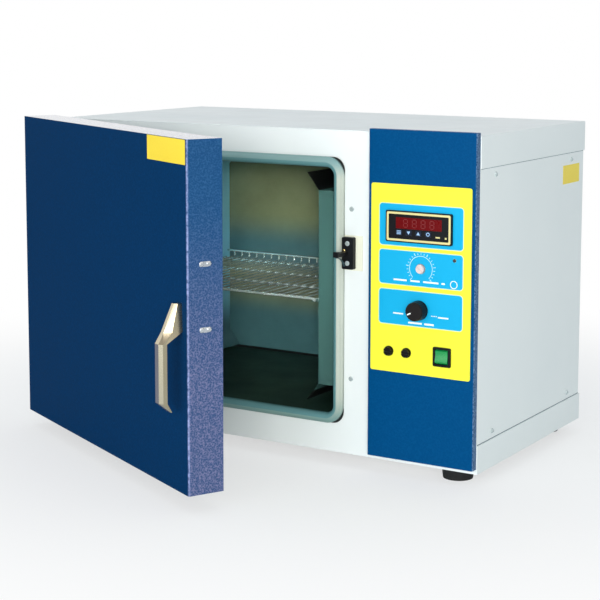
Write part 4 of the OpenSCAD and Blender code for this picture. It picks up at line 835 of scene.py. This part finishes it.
# Temperature controller: a black moulded case and glossy bezel behind a dark red window.
# A cream line is printed round its face, with two small marks below the window.
# The four keys carry plain symbols.
case_black = grained("moulded_black", (24, 24, 26), (40, 40, 44), 0.5, scale=1600.0, depth=0.00001)
bezel_black = grained("bezel_black", (12, 12, 16), (22, 24, 30), 0.35, scale=1200.0, depth=0.000006,
                      Specular_IOR_Level=0.15)
window_red = grained("window_red", (106, 1, 5), (84, 0, 3), 0.3, scale=400.0, cloud=0.5, depth=0.000002,
                     Specular_IOR_Level=0.1)
dress(case_black, "controller_case", "mains_inlet")
dress(bezel_black, "controller_bezel")
dress(window_red, "display_window")
soften(0.0005, "controller_bezel")
soften(0.0002, "display_window")
cream = grained("printed_cream", (226, 214, 150), (206, 190, 120), 0.35, scale=500.0, cloud=0.4,
                depth=0.000003)
window_low, window_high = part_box("display_window")
bezel_mid = (bezel_low + bezel_high) / 2
width, height = bezel_high.x - bezel_low.x, bezel_high.z - bezel_low.z
place = facing_front(bezel_mid.x, bezel_low.y + film * 0.4, bezel_mid.z)
loops = [rounded_loop(width - cut, height - cut, radius) for cut,
         radius in ((0.003, 0.002), (0.0084, 0.0014))]
printed("controller_line", loops, cream, film, place)
loops = [bar_loop(0.006, 0.0018, 0, 0, 0.0245, -0.0105), bar_loop(0.0024, 0.0024, 0, 0, 0.0375, -0.011)]
printed("controller_marks", loops, cream, film, place)
digit_red = grained("digit_red", (118, 10, 12), (98, 5, 8), 0.3, scale=500.0, cloud=0.4, depth=0.000002)
segments = []
digit_height, digit_width, thick = 0.0098, 0.0056, 0.0009
for i in range(4):
    x0 = -0.0215 + i * 0.0125
    for level in (-1, 0, 1):
        at = (x0 + thick * 0.8, level * digit_height / 2)
        segments.append(bar_loop(digit_width - thick * 1.6, thick, 0, 0, *at))
    for side in (0, 1):
        for foot in (-digit_height / 2, 0):
            at = (x0 + side * digit_width, foot + thick * 0.7)
            segments.append(bar_loop(digit_height / 2 - thick * 1.4, thick, math.pi / 2, 0, *at))
window_mid = (window_low + window_high) / 2
printed("display_digits", segments, digit_red, film * 0.6,
        facing_front(window_mid.x, window_low.y + film * 0.1, window_mid.z))
key_blue = grained("key_slate", (20, 30, 50), (14, 22, 38), 0.45, scale=1200.0, depth=0.00001,
                   Specular_IOR_Level=0.2)
key_ink = grained("key_symbol", (160, 198, 240), (130, 168, 214), 0.4, scale=800.0, cloud=0.2, depth=0.000002)
symbols = {
    "key_1": [bar_loop(0.006, 0.0009, 0, 0, -0.003, level) for level in (-0.0018, 0, 0.0018)],
    "key_2": [[(-0.0026, 0.002), (0.0026, 0.002), (0, -0.0022)]],
    "key_3": [[(-0.0026, -0.002), (0.0026, -0.002), (0, 0.0022)]],
    "key_4": [ring_loop(0.0025, 24), ring_loop(0.0015, 20)],
}
for name, loops in symbols.items():
    dress(key_blue, name)
    soften(0.0003, name)
    key_low, key_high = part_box(name)
    key_mid = (key_low + key_high) / 2
    place = facing_front(key_mid.x, key_low.y + film * 0.1, key_mid.z)
    printed(name + "_symbol", loops, key_ink, film * 0.6, place, name)

# Fuse holders and mains switch.
# Moulded black caps with a screwdriver slot, and a green see-through rocker in a black snap-in frame.
fuse_black = grained("fuse_black", (10, 9, 10), (22, 21, 22), 0.36, scale=1600.0, depth=0.000008,
                     Specular_IOR_Level=0.2)
rocker_green = grained("rocker_green", (6, 158, 76), (0, 112, 54), 0.25, scale=260.0, cloud=0.7,
        depth=0.000004, Coat_Weight=0.2, Coat_Roughness=0.1)
dress(fuse_black, "fuse_holders", "fuse_cap_1", "fuse_cap_2", "mains_switch_frame")
dress(rocker_green, "mains_switch_rocker")
soften(0.0003, "fuse_holders", "fuse_cap_1", "fuse_cap_2", "mains_switch_frame", "mains_switch_rocker")

# Latch: strike plate with its tongue and a bowed leaf spring under it.
# Black-painted pressing held by two bright screws, with a brass rivet at the tongue's root.
# The spring is blued strip.
latch_black = grained("latch_black", (12, 13, 15), (30, 32, 36), 0.4, cloud=0.5, depth=0.00003,
                      Specular_IOR_Level=0.2)
spring_blue = steel("blued_spring", (96, 122, 130), (60, 82, 92), 0.28, (700.0, 700.0, 700.0))
dress(latch_black, "latch_strike")
dress(spring_blue, "latch_spring")
brass = steel("brass_rivet", (236, 214, 150), (196, 168, 100), 0.3, (600.0, 600.0, 600.0), 0.3)
strike_low, strike_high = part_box("latch_strike")
packer_low, packer_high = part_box("latch_packer")
rivet_radius, rivet_rise, rivet_in, rivet_facets = 0.0022, 0.0012, 0.0035, 20
points, faces = [(0, 0, rivet_rise)], []
rings = ((0.55, 0.85), (0.85, 0.5), (1.0, 0.0))
for share, rise in rings:
    for x, y in ring_loop(rivet_radius * share, rivet_facets):
        points.append((x, y, rivet_rise * rise))
for i in range(rivet_facets):
    j = (i + 1) % rivet_facets
    faces.append((0, 1 + i, 1 + j))
    for k in range(len(rings) - 1):
        inner, outer = 1 + rivet_facets * k, 1 + rivet_facets * (k + 1)
        faces.append((inner + i, outer + i, outer + j, inner + j))
faces.append(tuple(1 + rivet_facets * (len(rings) - 1) + i for i in reversed(range(rivet_facets))))
rivet = mesh_piece("latch_rivet", points, faces, brass, "cabinet", "latch_black")
plate_front = packer_low.y - 0.007
packer_mid_z = (packer_low.z + packer_high.z) / 2
rivet.matrix_world = facing_front(strike_low.x + rivet_in, plate_front, packer_mid_z + rivet_in)
packer_cream = grained("packer_cream", (246, 246, 226), (228, 230, 206), 0.5, scale=1200.0, cloud=0.4,
        depth=0.00001)
dress(packer_cream, "latch_packer")
soften(0.0005, "latch_strike")
soften(0.0002, "latch_spring")

# Screws, hinges and feet.
# Bright plated slotted screws, zinc-plated barrel hinges with steel pins, and turned black rubber feet.
bright = steel("bright_screw", (206, 218, 218), (168, 180, 182), 0.25, (900.0, 900.0, 900.0), 0.3,
               metallic=0.35)
rubber = grained("foot_rubber", (8, 12, 12), (26, 28, 28), 0.8, scale=700.0, cloud=0.5, depth=0.00006)
polished = steel("polished_screw", (226, 228, 230), (180, 182, 186), 0.22, (900.0, 900.0, 900.0), 0.3)
dress(bright, "cabinet_screws")
dress(polished, "door_edge_screws")
dress(zinc, "cabinet_hinge_leaves", "hinge_pins", "door_hinge_leaves")
dress(rubber, "rubber_feet")
soften(0.0003, "cabinet_screws", "door_edge_screws")
soften(0.0005, "cabinet_hinge_leaves", "hinge_pins", "door_hinge_leaves")
soften(0.0012, "rubber_feet")

# Door: hammertone-blue shell over mineral wool, stainless inner panel and a plain catch sleeve.
# The shell is one folded sheet; its free edge, top face and rounded folds take lighter copies of its paint as
# painted light.
# The top face's copy also has a full clear coat that gives real reflection.
door_blue = hammered("door_hammertone", (3, 46, 84), (8, 58, 104), 0.4, 0.42, shine=0.006)
# Painted light: the free edge's lighter, flakier copy of the paint, bluer towards the top and more purple
# lower down.
edge_blue = hammered("door_edge_hammertone", (52, 92, 148), (128, 122, 172), 0.85, 0.4, 0.0002, 520.0, 0.2)
paint = next(n for n in edge_blue.node_tree.nodes if n.type == "GROUP")
for socket, low_colour, high_colour in (("Colour", linear(48, 76, 120), linear(11, 66, 113)),
        ("Flake", linear(122, 122, 158), linear(40, 89, 135))):
    blend = use(edge_blue.node_tree, blend_by_height, Bottom=0.12, Top=0.4, Below=low_colour,
                Above=high_colour)
    edge_blue.node_tree.links.new(blend.outputs["Colour"], paint.inputs[socket])
# Painted highlight: a near-white copy of the paint for the rounded folds.
fold_painted_highlight = hammered("door_fold_painted_highlight", (190, 208, 232), (240, 244, 250), 0.9, 0.35, 0.0001, 700.0, 0.3)
# Painted highlight: the top face's lighter blue copy; its coat reflects for real.
top_blue = hammered("door_top_hammertone", (30, 70, 120), (70, 100, 150), 0.4, 0.3, 0.00001, 420.0, 0.5, 1.0)
panel_steel = steel("door_panel_stainless", (168, 172, 172), (128, 128, 122), 0.4, (900.0, 900.0, 30.0))
dress(door_blue, "door_shell")
shell = nodes["door_shell"].data
for made in (edge_blue, top_blue, fold_painted_highlight):
    shell.materials.append(made)
dress(panel_steel, "door_inner_panel")
dress(zinc, "door_catch")
soften(0.0028, "door_shell")
# The rounded folds take the painted highlight copy.
nodes["door_shell"].modifiers["rounded_edges"].material = 3
soften(0.0005, "door_inner_panel")
soften(0.0003, "door_catch")
hinge = next(j for j in frame["joints"] if j["name"] == "door_hinge")
hinge_at = Vector(hinge["pos_m"])
door_angle = math.radians(27)
swing = Matrix.Translation(hinge_at) @ Matrix.Rotation(-door_angle, 4, "Z") @ Matrix.Translation(-hinge_at)
free_side = swing.to_3x3() @ Vector((1, 0, 0))
outward = swing.to_3x3() @ Vector((0, -1, 0))
door_edge_x, door_face_y, door_top_z = 0.169, -0.2294, 0.4502
fold_at = swing @ Vector((door_edge_x, door_face_y, door_top_z))


# Painted highlight: a speckled pale band beside the door's front fold.
def painted_fold_glint_group():
    tree, ins, outs = group(
        "painted_fold_glint",
        [("Across", "Vector", (1.0, 0.0, 0.0)), ("Start", "Float", 0.1), ("Width", "Float", 0.0016),
         ("Colour", "Color", (0, 0.1, 0.2, 1)),
         ("Worn", "Color", (0.6, 0.7, 0.8, 1))],
        [("Colour", "Color")])
    where = tree.nodes.new("ShaderNodeTexCoord").outputs["Object"]
    along = tree.nodes.new("ShaderNodeVectorMath")
    along.operation = "DOT_PRODUCT"
    tree.links.new(where, along.inputs[0])
    tree.links.new(ins.outputs["Across"], along.inputs[1])
    past = math_node(tree, "SUBTRACT", along.outputs["Value"], ins.outputs["Start"])
    near = math_node(tree, "DIVIDE", past, ins.outputs["Width"], True)
    patches = steps(tree, noise(tree, where, 230.0, 4.0, 0.6), 0.3, 0.62)
    mask = math_node(tree, "MULTIPLY", near, patches, True)
    tree.links.new(mix_colour(tree, mask, ins.outputs["Colour"], ins.outputs["Worn"]), outs.inputs["Colour"])
    return tree


painted_fold_glint = painted_fold_glint_group()
# Both the face and the free edge get the painted highlight beside the fold.
for made, across in ((door_blue, free_side), (edge_blue, outward)):
    tree = made.node_tree
    shader = tree.nodes["Principled BSDF"]
    painted = shader.inputs["Base Color"].links[0].from_socket
    glint = use(tree, painted_fold_glint, Across=across, Start=fold_at.dot(across) - 0.0026, Width=0.0018,
               Worn=linear(150, 160, 206))
    tree.links.new(painted, glint.inputs["Colour"])
    tree.links.new(glint.outputs["Colour"], shader.inputs["Base Color"])
for face in shell.polygons:
    if face.normal.dot(free_side) > 0.7:
        face.material_index = 1
    if face.normal.z > 0.7:
        face.material_index = 2
sticker_yellow = grained("sticker_yellow", (244, 214, 38), (226, 192, 24), 0.42, scale=300.0, cloud=0.5,
        depth=0.00001)
sticker_width, sticker_height, sticker_in, sticker_down = 0.1005, 0.0296, 0.0535, 0.0155
place = swing @ facing_front(door_edge_x - sticker_in, door_face_y - film / 2, door_top_z - sticker_down)
printed("door_sticker", [rounded_loop(sticker_width, sticker_height, 0.001, 3)], sticker_yellow, film, place,
        "door")

# Handle: a cast bar with bevelled edges, polished and plated, bolted to the door from inside.
# Its facets take lit and shaded copies of the plating as painted light: a cream one between a shaded one and
# a golden reflecting one, and above the bend darker shaded facets beside a bright one.
chrome = steel("polished_plate", (212, 203, 178), (176, 160, 128), 0.22, (500.0, 500.0, 60.0), 0.5, 0.000006)
shaded_facet = steel("polished_plate_shaded", (150, 144, 152), (112, 104, 110), 0.28, (500.0, 500.0, 60.0), 0.6,
             0.000006)
reflecting_facet = steel("polished_plate_painted_reflection", (196, 184, 156), (150, 138, 110), 0.28, (500.0, 500.0, 60.0), 0.6,
              0.000006)
upper_shaded_facet = steel("polished_plate_upper_shade", (150, 140, 120), (112, 102, 84), 0.36, (500.0, 500.0, 60.0), 0.6,
              0.000006)
dress(chrome, "door_handle")
handle = nodes["door_handle"].data
for made in (shaded_facet, reflecting_facet, upper_shaded_facet):
    handle.materials.append(made)
grip_low, grip_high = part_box("door_handle")
bend_z = grip_low.z + 0.66 * (grip_high.z - grip_low.z)
# Painted light: each face takes the copy for the direction it faces.
for face in handle.polygons:
    sideways = face.normal.dot(free_side)
    if sideways > 0.85:
        face.material_index = 2
    elif sideways < 0.25 and face.center.z < bend_z:
        face.material_index = 1
    elif sideways > 0.25 and face.center.z > bend_z:
        face.material_index = 3
soften(0.0006, "door_handle", angle=20)

# Side sticker, a blank yellow label on the right panel under the cover's skirt.
# Printed paper, lacquered, with nothing on it but its edge line.
side_low, side_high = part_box("right_side_panel")
from_front, from_foot = 0.2945, 0.3575
facing_right = Matrix(((0, 0, 1, 0), (1, 0, 0, 0), (0, 1, 0, 0), (0, 0, 0, 1)))
sticker_at = (side_high.x + film / 2, side_low.y + from_front, side_low.z + from_foot)
place = Matrix.Translation(sticker_at) @ facing_right
side_yellow = grained("side_sticker_yellow", (252, 228, 84), (238, 210, 60), 0.42, scale=300.0, cloud=0.5,
                      depth=0.00001)
printed("side_sticker", [rounded_loop(0.059, 0.026, 0.001, 3)], side_yellow, film, place, "cabinet")

# Power board behind the control column.
# Green laminate with a transformer and relays; out of sight behind the vented back.
laminate = grained("board_green", (26, 92, 52), (16, 66, 38), 0.4, scale=600.0, cloud=0.5)
dress(laminate, "power_board")

# View.
scene.view_settings.view_transform = "Standard"
